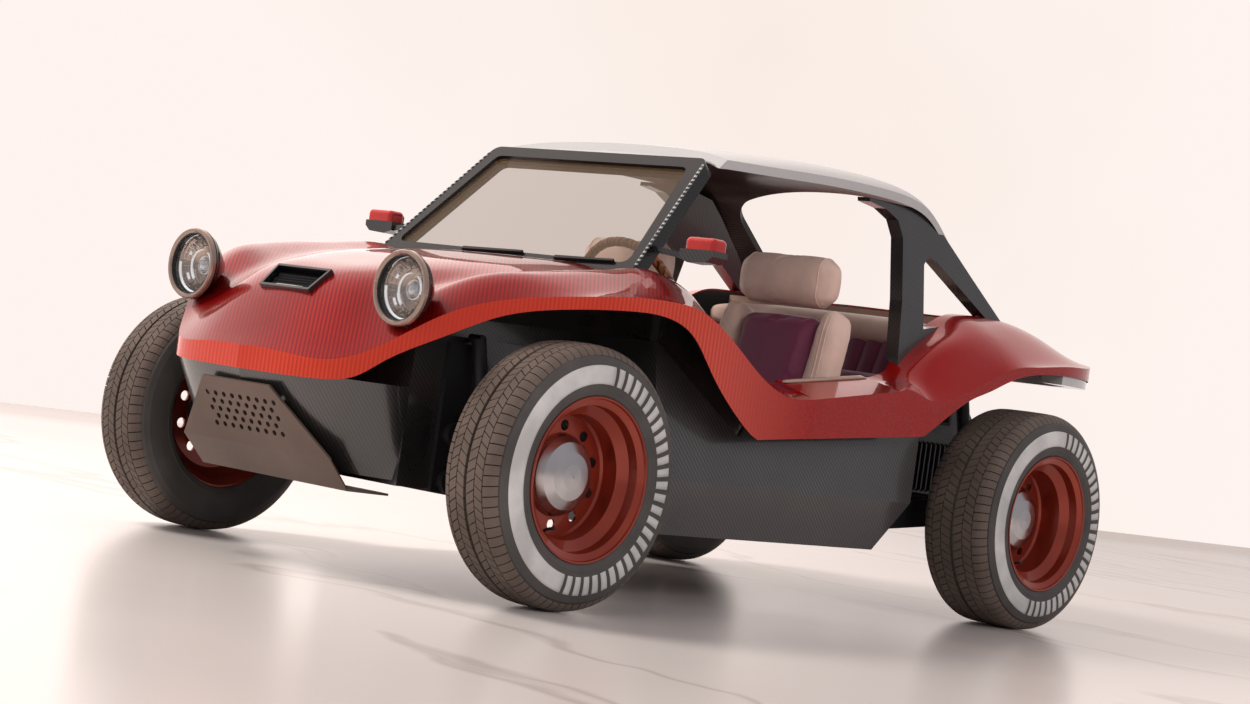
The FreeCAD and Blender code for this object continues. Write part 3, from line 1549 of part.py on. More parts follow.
def build_firewall():
    """Shelf behind the tub that carries the rear bench, and the wall behind the bench."""
    panel = helper_body("firewall_panel")
    side = [
        (SHELF_FRONT, SHELF_UP),
        (BENCH_BACK, SHELF_UP),
        (BENCH_BACK, level_at(924)),
        (f"{BENCH_BACK} - firewall_wall", level_at(924)),
        (f"{BENCH_BACK} - firewall_wall", f"{SHELF_UP} + firewall_wall"),
        (SHELF_FRONT, f"{SHELF_UP} + firewall_wall"),
    ]
    pad(panel, "panel", side, f"2 * {out_at(478)}")
    kept(cut("firewall", panel, deck_zone()))


def build_bench():
    """Rear bench on the shelf, its back against the firewall."""
    bench = new_body("rear_bench")
    low = f"({SHELF_UP} + firewall_wall + seat_gap)"
    back = f"({BENCH_BACK} - firewall_wall - seat_gap)"
    side = [
        (rear_at(-424), low),
        (back, low),
        (back, level_at(890)),
        (rear_at(-190), level_at(895)),
        (rear_at(-240), level_at(700)),
        (rear_at(-424), level_at(705)),
    ]
    pad(bench, "bench", side, f"2 * {out_at(465)}")


build_wheels()
build_knuckles()
build_body_front()
build_body_rear()
build_sills()
build_scoop()
build_nose_lower()
build_skid_plate()
build_lamps()
build_screen()
build_wipers()
build_roof()
build_hoops()
build_mirrors()
build_tub()
build_footwell()
build_front_beam()
build_rear_suspension()
build_engine()
build_rear_valance()
build_dashboard()
build_steering_wheel()
build_seats()
build_firewall()
build_bench()

doc.recompute()
for item in doc.Objects:
    if "Invalid" in item.State or "Error" in item.State:
        raise RuntimeError(f"{item.Label} failed: {item.State}")
for item in PARTS:
    if item.Shape.isNull() or not item.Shape.isValid():
        raise RuntimeError(f"{item.Label} has no valid shape")

os.makedirs("parts", exist_ok=True)
for item in PARTS:
    item.Shape.exportStep(f"parts/{item.Label}.step")
    box = item.Shape.BoundBox
    size = f"{box.XLength:.0f} x {box.YLength:.0f} x {box.ZLength:.0f} mm"
    print(f"{item.Label}: {len(item.Shape.Solids)} solids, {item.Shape.Volume / 1e6:.2f} litres, {size}")
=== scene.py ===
import json
import math

import bmesh
import bpy
from mathutils import Euler, Matrix, Vector


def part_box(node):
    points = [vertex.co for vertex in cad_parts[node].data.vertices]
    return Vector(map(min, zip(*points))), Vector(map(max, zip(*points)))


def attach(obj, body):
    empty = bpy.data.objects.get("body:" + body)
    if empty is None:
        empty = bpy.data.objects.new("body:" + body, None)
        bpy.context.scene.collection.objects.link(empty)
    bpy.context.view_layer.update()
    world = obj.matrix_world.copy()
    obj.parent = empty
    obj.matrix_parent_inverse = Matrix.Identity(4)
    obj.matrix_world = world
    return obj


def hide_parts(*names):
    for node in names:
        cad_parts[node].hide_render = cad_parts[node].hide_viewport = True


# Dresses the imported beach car: paint, tread, lamps, padding and trim, then camera, floor and light.
# Metres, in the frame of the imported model: X to the car's left, Y to the rear, Z up.

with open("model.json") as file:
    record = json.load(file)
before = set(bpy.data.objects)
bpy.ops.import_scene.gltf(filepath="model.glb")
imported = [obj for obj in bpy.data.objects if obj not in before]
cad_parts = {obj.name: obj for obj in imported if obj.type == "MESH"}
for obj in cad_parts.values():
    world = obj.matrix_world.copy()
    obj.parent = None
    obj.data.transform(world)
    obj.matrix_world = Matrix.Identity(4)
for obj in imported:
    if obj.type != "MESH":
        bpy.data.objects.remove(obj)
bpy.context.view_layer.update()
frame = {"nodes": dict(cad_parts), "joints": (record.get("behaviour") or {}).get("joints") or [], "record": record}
nodes = frame["nodes"]

WHEELS = ("front_left", "front_right", "rear_left", "rear_right")
SIDES = (("left", 1), ("right", -1))
X, Y, Z = Vector((1, 0, 0)), Vector((0, 1, 0)), Vector((0, 0, 1))


# Node helpers

# What a wave texture of scale 1 repeats after.
WAVE_PERIOD = 0.3142


def rgba(colour):
    return (*colour, 1.0)


def scaled(colour, factor):
    """A darker or lighter colour, never past white."""
    return tuple(min(part * factor, 1.0) for part in colour)


class Look:
    """The node tree of a material or world. Its methods add nodes and give the sockets of their results."""

    def __init__(self, owner, coordinates="Object"):
        self.owner = owner
        owner.use_nodes = True
        owner.node_tree.nodes.clear()
        self.where = self.add("TexCoord").outputs[coordinates]

    def add(self, kind, inputs=None, **settings):
        tree = self.owner.node_tree
        node = tree.nodes.new("ShaderNode" + kind)
        for setting, worth in settings.items():
            setattr(node, setting, worth)
        for socket, worth in (inputs or {}).items():
            if hasattr(worth, "is_output"):
                tree.links.new(worth, node.inputs[socket])
            else:
                node.inputs[socket].default_value = worth
        return node

    def turned(self, angles):
        return self.add("Mapping", {"Vector": self.where, "Rotation": angles}).outputs[0]

    def part(self, vector, letter):
        return self.add("SeparateXYZ", {"Vector": vector}).outputs[letter]

    def noise(self, scale, detail=2.0):
        return self.add("TexNoise", {"Vector": self.where, "Scale": scale, "Detail": detail}).outputs["Fac"]

    def math(self, operation, first, second=0.0):
        return self.add("Math", {0: first, 1: second}, operation=operation).outputs[0]

    def dot(self, first, second):
        return self.add("VectorMath", {0: first, 1: second}, operation="DOT_PRODUCT").outputs["Value"]

    def ranged(self, value, start, end, low=0.0, high=1.0, **settings):
        """Maps a value between start and end to one between low and high."""
        inputs = {"Value": value, "From Min": start, "From Max": end, "To Min": low, "To Max": high}
        return self.add("MapRange", inputs, **settings).outputs["Result"]

    def fade(self, factor, low, high):
        """Maps a 0 to 1 factor to a range of values."""
        return self.ranged(factor, 0.0, 1.0, low, high)

    def tint(self, factor, dark, light, start=0.0, end=1.0):
        """A colour between two, by a factor."""
        ramp = self.add("ValToRGB", {"Fac": factor})
        for stop, colour, position in zip(ramp.color_ramp.elements, (dark, light), (start, end)):
            stop.color = rgba(colour)
            stop.position = position
        return ramp.outputs["Color"]

    def mix(self, factor, first, second):
        """Mixes two numbers."""
        return self.add("Mix", {0: factor, 2: first, 3: second}).outputs[0]

    def blend(self, factor, first, second):
        """Mixes two colours."""
        return self.add("Mix", {0: factor, 6: first, 7: second}, data_type="RGBA").outputs[2]

    def ribs(self, vector, spacing, direction="X"):
        """Soft parallel lines at a spacing: 0 in the grooves, 1 on the ribs."""
        inputs = {"Vector": vector, "Scale": WAVE_PERIOD / spacing, "Distortion": 0.0}
        return self.add("TexWave", inputs, bands_direction=direction).outputs["Fac"]

    def twill(self, direction, spacing):
        """Parallel lines across a direction, mirrored on the car's other side."""
        parts = self.add("SeparateXYZ", {"Vector": self.where}).outputs
        aside = self.math("ABSOLUTE", parts["X"])
        folded = self.add("CombineXYZ", {"X": aside, "Y": parts["Y"], "Z": parts["Z"]}).outputs[0]
        line = self.add("CombineXYZ", {"X": self.dot(folded, direction)}).outputs[0]
        return self.ribs(line, spacing)

    def bump(self, height, strength, distance):
        return self.add("Bump", {"Height": height, "Strength": strength, "Distance": distance}).outputs[0]


def new_material(name, make, *settings):
    """A material from a function that gives its surface's inputs."""
    look = Look(bpy.data.materials.new(name))
    shader = look.add("BsdfPrincipled", make(look, *settings))
    look.add("OutputMaterial", {"Surface": shader.outputs[0]})
    return look.owner


# Materials: each function adds its nodes to a look and gives the inputs of the surface's shader.

CREAM = (0.80, 0.56, 0.47)
BURGUNDY = (0.19, 0.032, 0.080)
TAN = (0.46, 0.32, 0.25)
BLACK = (0.012, 0.011, 0.011)
# The third spacing is that of the painted highlight's ticks on the screen pillars.
PAINT_WEAVE, TWILL_WEAVE, EDGE_GLINT_SPACING = 0.0105, 0.0085, 0.0124
CABIN_MIDDLE = (0.0, 0.3, 0.8)
FIREWALL_FOOT = 0.80


def body_paint(look):
    """Candy red over a diagonal weave, an orange band round the nose, flake red sides and black below."""
    weave = look.ribs(look.turned((0, 0, math.radians(-45))), PAINT_WEAVE)
    flake = look.add("TexVoronoi", {"Vector": look.where, "Scale": 620.0, "Randomness": 1.0}).outputs
    clouds = look.noise(2.2, 3.0)
    drift = look.tint(clouds, (0.15, 0.15, 0.15), (1, 1, 1), 0.35, 0.65)
    ahead = look.ranged(look.part(look.where, "Y"), -0.6, -0.1, 1.0, 0.0)
    lines = look.mix(ahead, 0.75, look.math("MULTIPLY", weave, drift))
    rise = look.part(look.add("NewGeometry").outputs["True Normal"], "Z")
    upright = look.ranged(look.math("ABSOLUTE", rise), 0.12, 0.22, 1.0, 0.0)
    under = look.ranged(rise, -0.55, -0.4, 1.0, 0.0)
    candy = look.tint(lines, (0.21, 0.001, 0.002), (0.50, 0.008, 0.005))
    band = look.tint(lines, (0.66, 0.035, 0.012), (0.84, 0.085, 0.035))
    side = look.tint(flake["Color"], (0.27, 0.003, 0.002), (0.60, 0.020, 0.010), 0.2, 0.95)
    shell = look.blend(upright, candy, look.blend(ahead, side, band))
    relief = look.mix(look.mix(ahead, upright, 0.0), lines, flake["Distance"])
    return {
        "Base Color": look.blend(under, shell, rgba(BLACK)),
        "Metallic": 0.45,
        "Roughness": look.mix(under, look.fade(clouds, 0.26, 0.38), 0.65),
        "Specular IOR Level": 0.1,
        "Coat Weight": look.mix(under, 0.9, 0.0),
        "Coat Roughness": 0.02,
        "Normal": look.bump(relief, 0.3, 0.0008),
    }


def dark_composite(look, base=0.018, rough=0.28, run=(0.577, 0.577, 0.577), gloss=0.8):
    """Black twill weave under lacquer."""
    cloud = look.noise(5.0, 4.0)
    shown = look.math("MULTIPLY", look.twill(run, TWILL_WEAVE), cloud)
    dark, light = scaled((0.6, 0.58, 0.58), base), scaled((2.3, 2.1, 2.05), base)
    return {
        "Base Color": look.tint(shown, dark, light, 0.1, 0.7),
        "Roughness": look.fade(cloud, rough - 0.08, rough + 0.1),
        "Specular IOR Level": gloss,
        "Coat Weight": gloss,
        "Coat Roughness": 0.1,
        "Normal": look.bump(shown, 0.4, 0.0007),
    }


def worn_metal(look, colour, metallic, rough, coat=0.0, depth=0.0003):
    """Metal, enamel or plastic with broad patches and a fine grain of some depth."""
    grain = look.noise(140.0, 5.0)
    return {
        "Base Color": look.tint(look.noise(4.0, 3.0), scaled(colour, 0.8), scaled(colour, 1.15), 0.3, 0.7),
        "Metallic": metallic,
        "Roughness": look.fade(grain, rough * 0.8, rough * 1.25),
        "Coat Weight": coat,
        "Coat Roughness": 0.05,
        "Normal": look.bump(grain, 0.3, depth),
    }


def rubber(look, colour):
    """Dusty rubber."""
    fine = look.noise(500.0, 4.0)
    return {
        "Base Color": look.tint(look.noise(9.0, 5.0), colour, scaled(colour, 1.5), 0.35, 0.75),
        "Roughness": look.fade(fine, 0.5, 0.72),
        "Normal": look.bump(fine, 0.3, 0.0005),
    }


def leather(look, colour, foot=None):
    """Fine-grained hide, black below the height of its foot."""
    pores = look.add("TexVoronoi", {"Vector": look.where, "Scale": 520.0}).outputs["Distance"]
    patches = look.noise(14.0, 4.0)
    hide = look.tint(patches, scaled(colour, 0.86), colour, 0.3, 0.7)
    if foot is not None:
        shown = look.ranged(look.part(look.where, "Z"), foot - 0.002, foot + 0.002)
        hide = look.blend(shown, rgba(BLACK), hide)
    return {
        "Base Color": hide,
        "Roughness": look.fade(patches, 0.42, 0.58),
        "Sheen Weight": 0.12,
        "Normal": look.bump(pores, 0.3, 0.0005),
    }


def clear_glass(look, colour, alpha):
    return {
        "Base Color": look.tint(look.noise(2.0), scaled(colour, 0.96), colour),
        "Roughness": 0.02,
        "Specular IOR Level": 0.8,
        "Alpha": alpha,
    }


def wood(look):
    """Varnished wood."""
    inputs = {"Vector": look.where, "Scale": 18.0, "Distortion": 9.0, "Detail": 4.0, "Detail Scale": 1.6}
    grain = look.add("TexWave", inputs).outputs["Fac"]
    return {
        "Base Color": look.tint(grain, (0.06, 0.012, 0.004), (0.36, 0.11, 0.025)),
        "Roughness": look.fade(grain, 0.25, 0.38),
        "Coat Weight": 1.0,
        "Coat Roughness": 0.05,
    }


def roof_paint(look):
    """Pale paint outside, dark composite on the faces that look into the cabin."""
    inward = look.add("VectorMath", {0: CABIN_MIDDLE, 1: look.where}, operation="SUBTRACT").outputs[0]
    unit = look.add("VectorMath", {0: inward}, operation="NORMALIZE").outputs[0]
    facing = look.dot(unit, look.add("NewGeometry").outputs["True Normal"])
    peel = look.noise(90.0)
    weave = look.ribs(look.turned((0.2, 0.2, 0.8)), TWILL_WEAVE)
    pale = look.tint(look.noise(2.0), (0.49, 0.475, 0.47), (0.53, 0.52, 0.515))
    dark = look.tint(weave, (0.020, 0.015, 0.014), (0.060, 0.046, 0.042))
    return {
        "Base Color": look.blend(look.ranged(facing, 0.0, 0.12), pale, dark),
        "Roughness": look.fade(peel, 0.34, 0.46),
        "Coat Weight": 0.3,
        "Coat Roughness": 0.15,
        "Normal": look.bump(peel, 0.03, 0.0001),
    }


def edge_weave(look):
    """Painted highlight: bright ticks in the colour where the twill of a dark edge catches the light."""
    haze = look.fade(look.noise(12.0, 3.0), 0.4, 1.3)
    shown = look.math("MULTIPLY", look.ribs(look.where, EDGE_GLINT_SPACING, "Z"), haze)
    return {
        "Base Color": look.tint(shown, (0.03, 0.032, 0.036), (0.80, 0.82, 0.84), 0.35, 0.75),
        "Metallic": 0.5,
        "Roughness": 0.25,
        "Coat Weight": 1.0,
    }


def white_paint(look, colour):
    peel = look.noise(90.0)
    return {
        "Base Color": look.tint(look.noise(2.0), scaled(colour, 0.95), colour),
        "Roughness": look.fade(peel, 0.22, 0.3),
        "Coat Weight": 0.8,
        "Coat Roughness": 0.05,
        "Normal": look.bump(peel, 0.03, 0.0001),
    }


def lamp_paint(look):
    """Tan satin bezel in front, black lacquer behind it."""
    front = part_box("headlamp_left")[0].y
    behind = look.ranged(look.part(look.where, "Y"), front + 0.013, front + 0.0145)
    haze = look.noise(60.0, 3.0)
    bronze = look.tint(haze, (0.36, 0.25, 0.20), (0.46, 0.33, 0.27))
    black = look.tint(haze, (0.012, 0.012, 0.013), (0.02, 0.02, 0.021))
    return {
        "Base Color": look.blend(behind, bronze, black),
        "Metallic": 0.6,
        "Roughness": look.fade(haze, 0.2, 0.32),
        "Coat Weight": 0.6,
    }


def strip_glow(look):
    """A faintly lit clear strip."""
    return {
        "Base Color": look.tint(look.noise(200.0), (0.85, 0.87, 0.89), (0.96, 0.97, 0.98)),
        "Roughness": 0.15,
        "Emission Color": (0.9, 0.95, 1.0, 1),
        "Emission Strength": 0.3,
    }


MATERIALS = {}
for make, name, *settings in (
    (body_paint, "body_paint"),
    (roof_paint, "roof_paint"),
    # Painted highlight for the strips down the screen pillars.
    (edge_weave, "edge_weave"),
    (lamp_paint, "lamp_paint"),
    (strip_glow, "lamp_strip"),
    (wood, "wood_rim"),
    (white_paint, "pale_plastic", (0.6, 0.59, 0.58)),
    # tone, roughness, direction across the weave, gloss
    (dark_composite, "dark_composite"),
    # The tub's copy of the black composite is twice as light: painted reflection of the bright floor.
    (dark_composite, "tub_composite", 0.036, 0.30),
    (dark_composite, "screen_composite", 0.006, 0.22, (0.5, 0.1, 0.86), 0.35),
    # colour, metallic, roughness, coat, depth of the grain
    (worn_metal, "chassis_paint", (0.02, 0.02, 0.021), 0.3, 0.4),
    (worn_metal, "engine_metal", (0.07, 0.07, 0.072), 0.7, 0.5),
    (worn_metal, "plate_metal", (0.15, 0.105, 0.085), 0.55, 0.4, 0.0, 0.0001),
    (worn_metal, "black_plastic", (0.016, 0.016, 0.017), 0.0, 0.4, 0.0, 0.0001),
    (worn_metal, "lamp_metal", (0.40, 0.36, 0.33), 0.9, 0.25, 0.0, 0.00005),
    (worn_metal, "lamp_mirror", (0.40, 0.30, 0.25), 1.0, 0.12, 0.0, 0.00002),
    (worn_metal, "lamp_glass", (0.62, 0.64, 0.66), 0.7, 0.12, 1.0, 0.00001),
    (worn_metal, "mirror_glass", (0.42, 0.52, 0.52), 1.0, 0.04, 0.0, 0.00001),
    (worn_metal, "chrome", (0.78, 0.77, 0.76), 1.0, 0.1, 0.0, 0.00002),
    (worn_metal, "hub_chrome", (0.62, 0.60, 0.60), 1.0, 0.22, 0.0, 0.00002),
    (worn_metal, "wheel_paint", (0.36, 0.046, 0.022), 0.6, 0.3, 0.5, 0.00004),
    (worn_metal, "cap_paint", (0.62, 0.020, 0.012), 0.3, 0.2, 1.0, 0.00002),
    (worn_metal, "tail_lens", (0.45, 0.008, 0.006), 0.1, 0.12, 1.0, 0.00002),
    (worn_metal, "gloss_black", (0.008, 0.008, 0.009), 0.0, 0.16, 1.0, 0.00002),
    # colour
    (rubber, "tyre", (0.062, 0.057, 0.054)),
    # The tread's rubber is a lighter, warmer copy of the tyre's: painted light on the tread.
    (rubber, "tread_rubber", (0.105, 0.078, 0.064)),
    (rubber, "white_rubber", (0.50, 0.49, 0.48)),
    # colour, opacity of one face
    (clear_glass, "clear_glass", (0.60, 0.58, 0.56), 0.07),
    (clear_glass, "screen_glass", (0.16, 0.10, 0.05), 0.29),
    # colour, height of the foot
    (leather, "dark_hide", (0.060, 0.036, 0.030)),
    (leather, "tan_hide", TAN),
    (leather, "wall_hide", TAN, FIREWALL_FOOT),
    (leather, "cream_leather", CREAM),
    (leather, "burgundy_leather", BURGUNDY),
):
    MATERIALS[name] = new_material(name, make, *settings)

# Nodes whose material differs from the one of their slot.
OWN_MATERIALS = {
    "windscreen_glass": "screen_glass",
    "windscreen_frame": "screen_composite",
    "mirror_caps": "cap_paint",
    "hood_scoop": "gloss_black",
    "dashboard": "dark_hide",
    "firewall": "wall_hide",
    # The tub's composite has a painted floor reflection in its colour.
    "tub": "tub_composite",
    "headlamp_left": "lamp_paint",
    "headlamp_right": "lamp_paint",
    **{"hubcap_" + wheel: "hub_chrome" for wheel in WHEELS},
}

for entry in frame["record"]["subparts"]:
    look_name = OWN_MATERIALS.get(entry["node"], entry["material_slot"])
    mesh = nodes[entry["node"]].data
    mesh.materials.clear()
    mesh.materials.append(MATERIALS[look_name])


# Mesh helpers


def new_piece(name, made, material, body="chassis", smooth=True, instead=None):
    """Turns a bmesh into a piece that rides on a body and may stand for a node."""
    mesh = bpy.data.meshes.new(name)
    bmesh.ops.recalc_face_normals(made, faces=made.faces)
    made.to_mesh(mesh)
    made.free()
    piece = bpy.data.objects.new(name, mesh)
    bpy.context.scene.collection.objects.link(piece)
    mesh.materials.append(MATERIALS[material])
    if smooth:
        mesh.shade_smooth()
    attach(piece, body)
    if instead:
        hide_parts(instead)
    return piece


def mirror_copy(piece):
    """A left piece's twin on the car's right side."""
    twin = bpy.data.objects.new(piece.name.replace("_left", "_right"), piece.data.copy())
    twin.data.transform(Matrix.Scale(-1, 4, X))
    twin.data.flip_normals()
    bpy.context.scene.collection.objects.link(twin)
    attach(twin, "chassis")
    return twin


def between(low, high, share):
    return low + (high - low) * share


def shares(count):
    return [index / count for index in range(count + 1)]


def full_turn(count, start=0.0):
    """Angles spread evenly round a circle."""
    return [start + 2 * math.pi * step / count for step in range(count)]


def circle(centre, first, second, radius, count):
    """Points round a circle in the plane of two directions."""
    return [centre + (first * math.cos(turn) + second * math.sin(turn)) * radius for turn in full_turn(count)]


def moved(points, shift):
    return [point + shift for point in points]


def curve_through(points, steps):
    """Points of a smooth curve through the given ones, with a number of steps between each two."""
    places = [Vector(point) for point in points]
    padded = [places[0] * 2 - places[1]] + places + [places[-1] * 2 - places[-2]]
    result = []
    for before, start, end, after in zip(padded, padded[1:], padded[2:], padded[3:]):
        for step in range(steps):
            t = step / steps
            result.append(0.5 * (
                2 * start + (end - before) * t
                + (2 * before - 5 * start + 4 * end - after) * t * t
                + (3 * start - before - 3 * end + after) * t ** 3
            ))
    return result + [places[-1]]


def bridge(made, first, second, closed=True):
    """Quads between two rows of vertices."""
    for index in range(len(first) if closed else len(first) - 1):
        after = (index + 1) % len(first)
        made.faces.new((first[index], first[after], second[after], second[index]))


def add_grid(made, rows, closed_rows=False, closed_columns=False):
    """Quads between rows of points; gives the vertices."""
    grid = [[made.verts.new(point) for point in row] for row in rows]
    for low, high in zip(grid, grid[1:]):
        bridge(made, low, high, closed_columns)
    if closed_rows:
        bridge(made, grid[-1], grid[0], closed_columns)
    return grid


def rim_of(grid):
    """The outermost entries of a grid, in order round it."""
    sides = [row[-1] for row in grid[1:]] + grid[-1][-2::-1] + [row[0] for row in grid[-2:0:-1]]
    return grid[0] + sides


def add_block(made, place, across, around, top, foot):
    """A raised block: place(u, v, height) gives its points, u and v run over the two lists."""
    spots = [[(u, v) for v in around] for u in across]
    grid = add_grid(made, [[place(u, v, top) for u, v in row] for row in spots])
    bridge(made, rim_of(grid), [made.verts.new(place(u, v, foot)) for u, v in rim_of(spots)])


def add_slab(made, rows, shift):
    """A sheet between rows of points, the same sheet moved by a shift, and the wall round both."""
    outer = add_grid(made, rows)
    inner = add_grid(made, [moved(row, shift) for row in rows])
    bridge(made, rim_of(outer), rim_of(inner))


def add_rod(made, rings, closed=False):
    """A solid through rings of points, with flat ends unless it closes on itself."""
    grid = add_grid(made, rings, closed_rows=closed, closed_columns=True)
    if not closed:
        made.faces.new(grid[0])
        made.faces.new(grid[-1])


def add_box(made, ring, drop):
    """A block between a ring of corners and the same ring moved by the drop."""
    add_rod(made, (ring, moved(ring, drop)))


def add_spin(made, profile, centre, steps=64, start=0.0, sweep=2 * math.pi, axes=(X, Y, Z)):
    """Turns (radius, along) points about the second of three axes, from the first towards the third."""
    across, axis, up = axes
    closed = sweep == 2 * math.pi
    rows = []
    for step in range(steps if closed else steps + 1):
        angle = start + step / steps * sweep
        ray = across * math.cos(angle) + up * math.sin(angle)
        rows.append([centre + ray * radius + axis * along for radius, along in profile])
    add_grid(made, rows, closed_rows=closed)


def add_tube(made, points, radius, sides=8, closed=False):
    """A round tube along points."""
    rings = []
    count = len(points)
    for index, point in enumerate(points):
        before = points[index - 1] if index or closed else point
        after = points[(index + 1) % count] if index < count - 1 or closed else point
        run = (after - before).normalized()
        side = last_side - run * last_side.dot(run) if rings else run.orthogonal()
        side.normalize()
        last_side = side.copy()
        rings.append(circle(point, side, run.cross(side), radius, sides))
    add_rod(made, rings, closed)


def struck(node, start, direction):
    """Where a ray first meets a node's surface."""
    found = nodes[node].ray_cast(Vector(start), Vector(direction))
    return found[1] if found[0] else None


def slope_at(node, start, direction):
    """The surface's normal where a ray first meets a node."""
    return nodes[node].ray_cast(Vector(start), Vector(direction))[2]


# Tyres

TREAD_PITCHES = 80
TREAD_DEPTH = 0.008
TREAD_GAP = 0.0028
# Block rows of half the tread: inner edge and outer edge as shares of its width, slant in pitches.
TREAD_ROWS = (
    (0.04, 0.33, 0.55),
    (0.33, 0.61, -0.55),
    (0.61, 1.0, 0.12),
)
# Sidewall: radius, and how far it lies inside the tyre's widest plane.
WALL_CURVE = (
    (0.2078, -0.0095), (0.222, -0.0045), (0.239, -0.0014), (0.2595, -0.0008), (0.28, -0.0036),
    (0.296, -0.0085), (0.311, -0.0165),
)
# Radii of the sidewall's rows, and the height of the two fine rings on it.
WALL_RADII = (
    0.2078, 0.215, 0.222, 0.2235, 0.225, 0.2265, 0.234, 0.239, 0.25, 0.26, 0.27, 0.28, 0.2875, 0.289, 0.2905,
    0.297, 0.303, 0.309,
)
WALL_RIDGES = {0.2235: 0.0008, 0.225: 0.0008, 0.2875: 0.0006, 0.289: 0.0006}
WHITE_INNER, WHITE_OUTER = 0.239, 0.2855
WHITE_RISE, WHITE_FOOT = 0.0007, -0.0004
SOLID_FROM, SOLID_TO = math.radians(-78), math.radians(97)
DASH_COUNT, DASH_SHARE = 26, 0.62


class Tyre:
    """Sizes and surfaces of one tyre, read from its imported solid."""

    def __init__(self, name):
        low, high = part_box("tyre_" + name)
        self.name = name
        self.centre = (low + high) / 2
        self.radius = (high.z - low.z) / 2
        self.half = (high.x - low.x) / 2
        self.side = 1 if self.centre.x > 0 else -1
        self.crown = curve_through([
            (0, 0, 0), (self.half - 0.06, -0.0012, 0), (self.half - 0.036, -0.0052, 0),
            (self.half - 0.020, -0.0175, 0), (self.half - 0.0085, -0.038, 0),
        ], 8)
        self.wall = curve_through([(radius, inside, 0) for radius, inside in WALL_CURVE], 8)

    @staticmethod
    def look_up(curve, where):
        for start, end in zip(curve, curve[1:]):
            if where <= end.x:
                return between(start.y, end.y, (where - start.x) / max(end.x - start.x, 1e-9))
        return curve[-1].y

    def at(self, across, radius, angle):
        """A point at a distance outwards from the middle plane, a radius and an angle from the front."""
        return Vector((
            self.centre.x + self.side * across,
            self.centre.y - radius * math.cos(angle),
            self.centre.z + radius * math.sin(angle),
        ))

    def on_tread(self, across, angle, rise):
        return self.at(across, self.radius + self.look_up(self.crown, abs(across)) + rise, angle)

    def on_wall(self, radius, angle, rise, outer=1):
        return self.at(outer * (self.half + self.look_up(self.wall, radius) + rise), radius, angle)

    def new_piece(self, kind, made, material, smooth=True):
        """A piece of this tyre, which turns with its wheel."""
        body, node = "wheel_" + self.name, "tyre_" + self.name
        new_piece(f"{kind}_{self.name}", made, material, body, smooth, node)


def build_carcass(tyre):
    """Sidewalls and the floor of the tread's grooves, as one closed tube."""
    tread = [between(-1, 1, share) * (tyre.half - 0.0125) for share in shares(24)]
    rows = []
    for angle in full_turn(144):
        row = [tyre.on_wall(radius, angle, WALL_RIDGES.get(radius, 0), -1) for radius in WALL_RADII]
        row += [tyre.on_tread(across, angle, -TREAD_DEPTH) for across in tread]
        row += [tyre.on_wall(radius, angle, WALL_RIDGES.get(radius, 0)) for radius in reversed(WALL_RADII)]
        rows.append(row)
    made = bmesh.new()
    add_grid(made, rows, closed_rows=True, closed_columns=True)
    tyre.new_piece("carcass", made, "tyre")


def build_tread(tyre):
    """Rows of slanted blocks: shoulder blocks, two herringbone rows a side and a zigzag middle groove."""
    made = bmesh.new()
    edge = tyre.half - 0.0115
    pitch = 2 * math.pi / TREAD_PITCHES
    for mirror in (-1, 1):
        for inner, outer, slant in TREAD_ROWS:
            shoulder = outer == 1.0
            start = inner * edge + TREAD_GAP / 2
            end = outer * edge - (0 if shoulder else TREAD_GAP / 2)
            for index in range(TREAD_PITCHES):
                base = (index + (0.5 if mirror > 0 else 0.0)) * pitch

                def place(u, v, rise):
                    angle = base + (v * 0.89 + slant * u) * pitch
                    return tyre.on_tread(mirror * between(start, end, u), angle, rise)

                add_block(made, place, shares(5 if shoulder else 2), shares(2), 0, -TREAD_DEPTH)
    # The tread's colour carries painted light.
    tyre.new_piece("tread", made, "tread_rubber", smooth=False)


def build_whitewall(tyre):
    """A solid pale band round the front half of the wall and pale dashes round the rear half."""
    made = bmesh.new()
    radii = [between(WHITE_INNER, WHITE_OUTER, share) for share in shares(8)]
    solid = [between(SOLID_FROM, SOLID_TO, share) for share in shares(64)]
    add_block(made, tyre.on_wall, radii, solid, WHITE_RISE, WHITE_FOOT)
    rest = 1 - DASH_SHARE
    pitch = (2 * math.pi - (SOLID_TO - SOLID_FROM)) / (DASH_COUNT + rest)
    for index in range(DASH_COUNT):
        start = SOLID_TO + (index + rest) * pitch
        dash = [start + DASH_SHARE * pitch * share for share in shares(2)]
        add_block(made, tyre.on_wall, radii, dash, WHITE_RISE, WHITE_FOOT)
    tyre.new_piece("whitewall", made, "white_rubber")


for wheel in WHEELS:
    dressed = Tyre(wheel)
    build_carcass(dressed)
    build_tread(dressed)
    build_whitewall(dressed)


# Headlamps

LENS_RADIUS = 0.0816
# Turned parts of a lamp: material, slot, steps round, smooth, and (radius, depth) points.
LAMP_PARTS = {
    "lamp_reflector": ("lamp_mirror", "lamp_metal", 40, False, (
        (0.0808, 0.027), (0.0782, 0.0245), (0.0765, 0.027), (0.0755, 0.032), (0.0715, 0.037), (0.0705, 0.039),
        (0.065, 0.047), (0.0642, 0.049), (0.056, 0.0565), (0.055, 0.0585), (0.044, 0.0635), (0.030, 0.067),
        (0.0, 0.068),
    )),
    "lamp_projector": ("lamp_glass", "clear_glass", 40, True, (
        (0.0, 0.036), (0.008, 0.037), (0.014, 0.040), (0.018, 0.046), (0.0185, 0.056), (0.0185, 0.067),
    )),
    "lamp_collar": ("chrome", "lamp_metal", 40, True, (
        (0.0188, 0.060), (0.0205, 0.051), (0.0245, 0.048), (0.027, 0.051), (0.0275, 0.067),
    )),
    "lamp_gasket": ("black_plastic", "black_plastic", 64, True, (
        (0.0822, 0.0045), (0.0805, 0.0040), (0.0790, 0.0060), (0.0790, 0.0145),
    )),
}
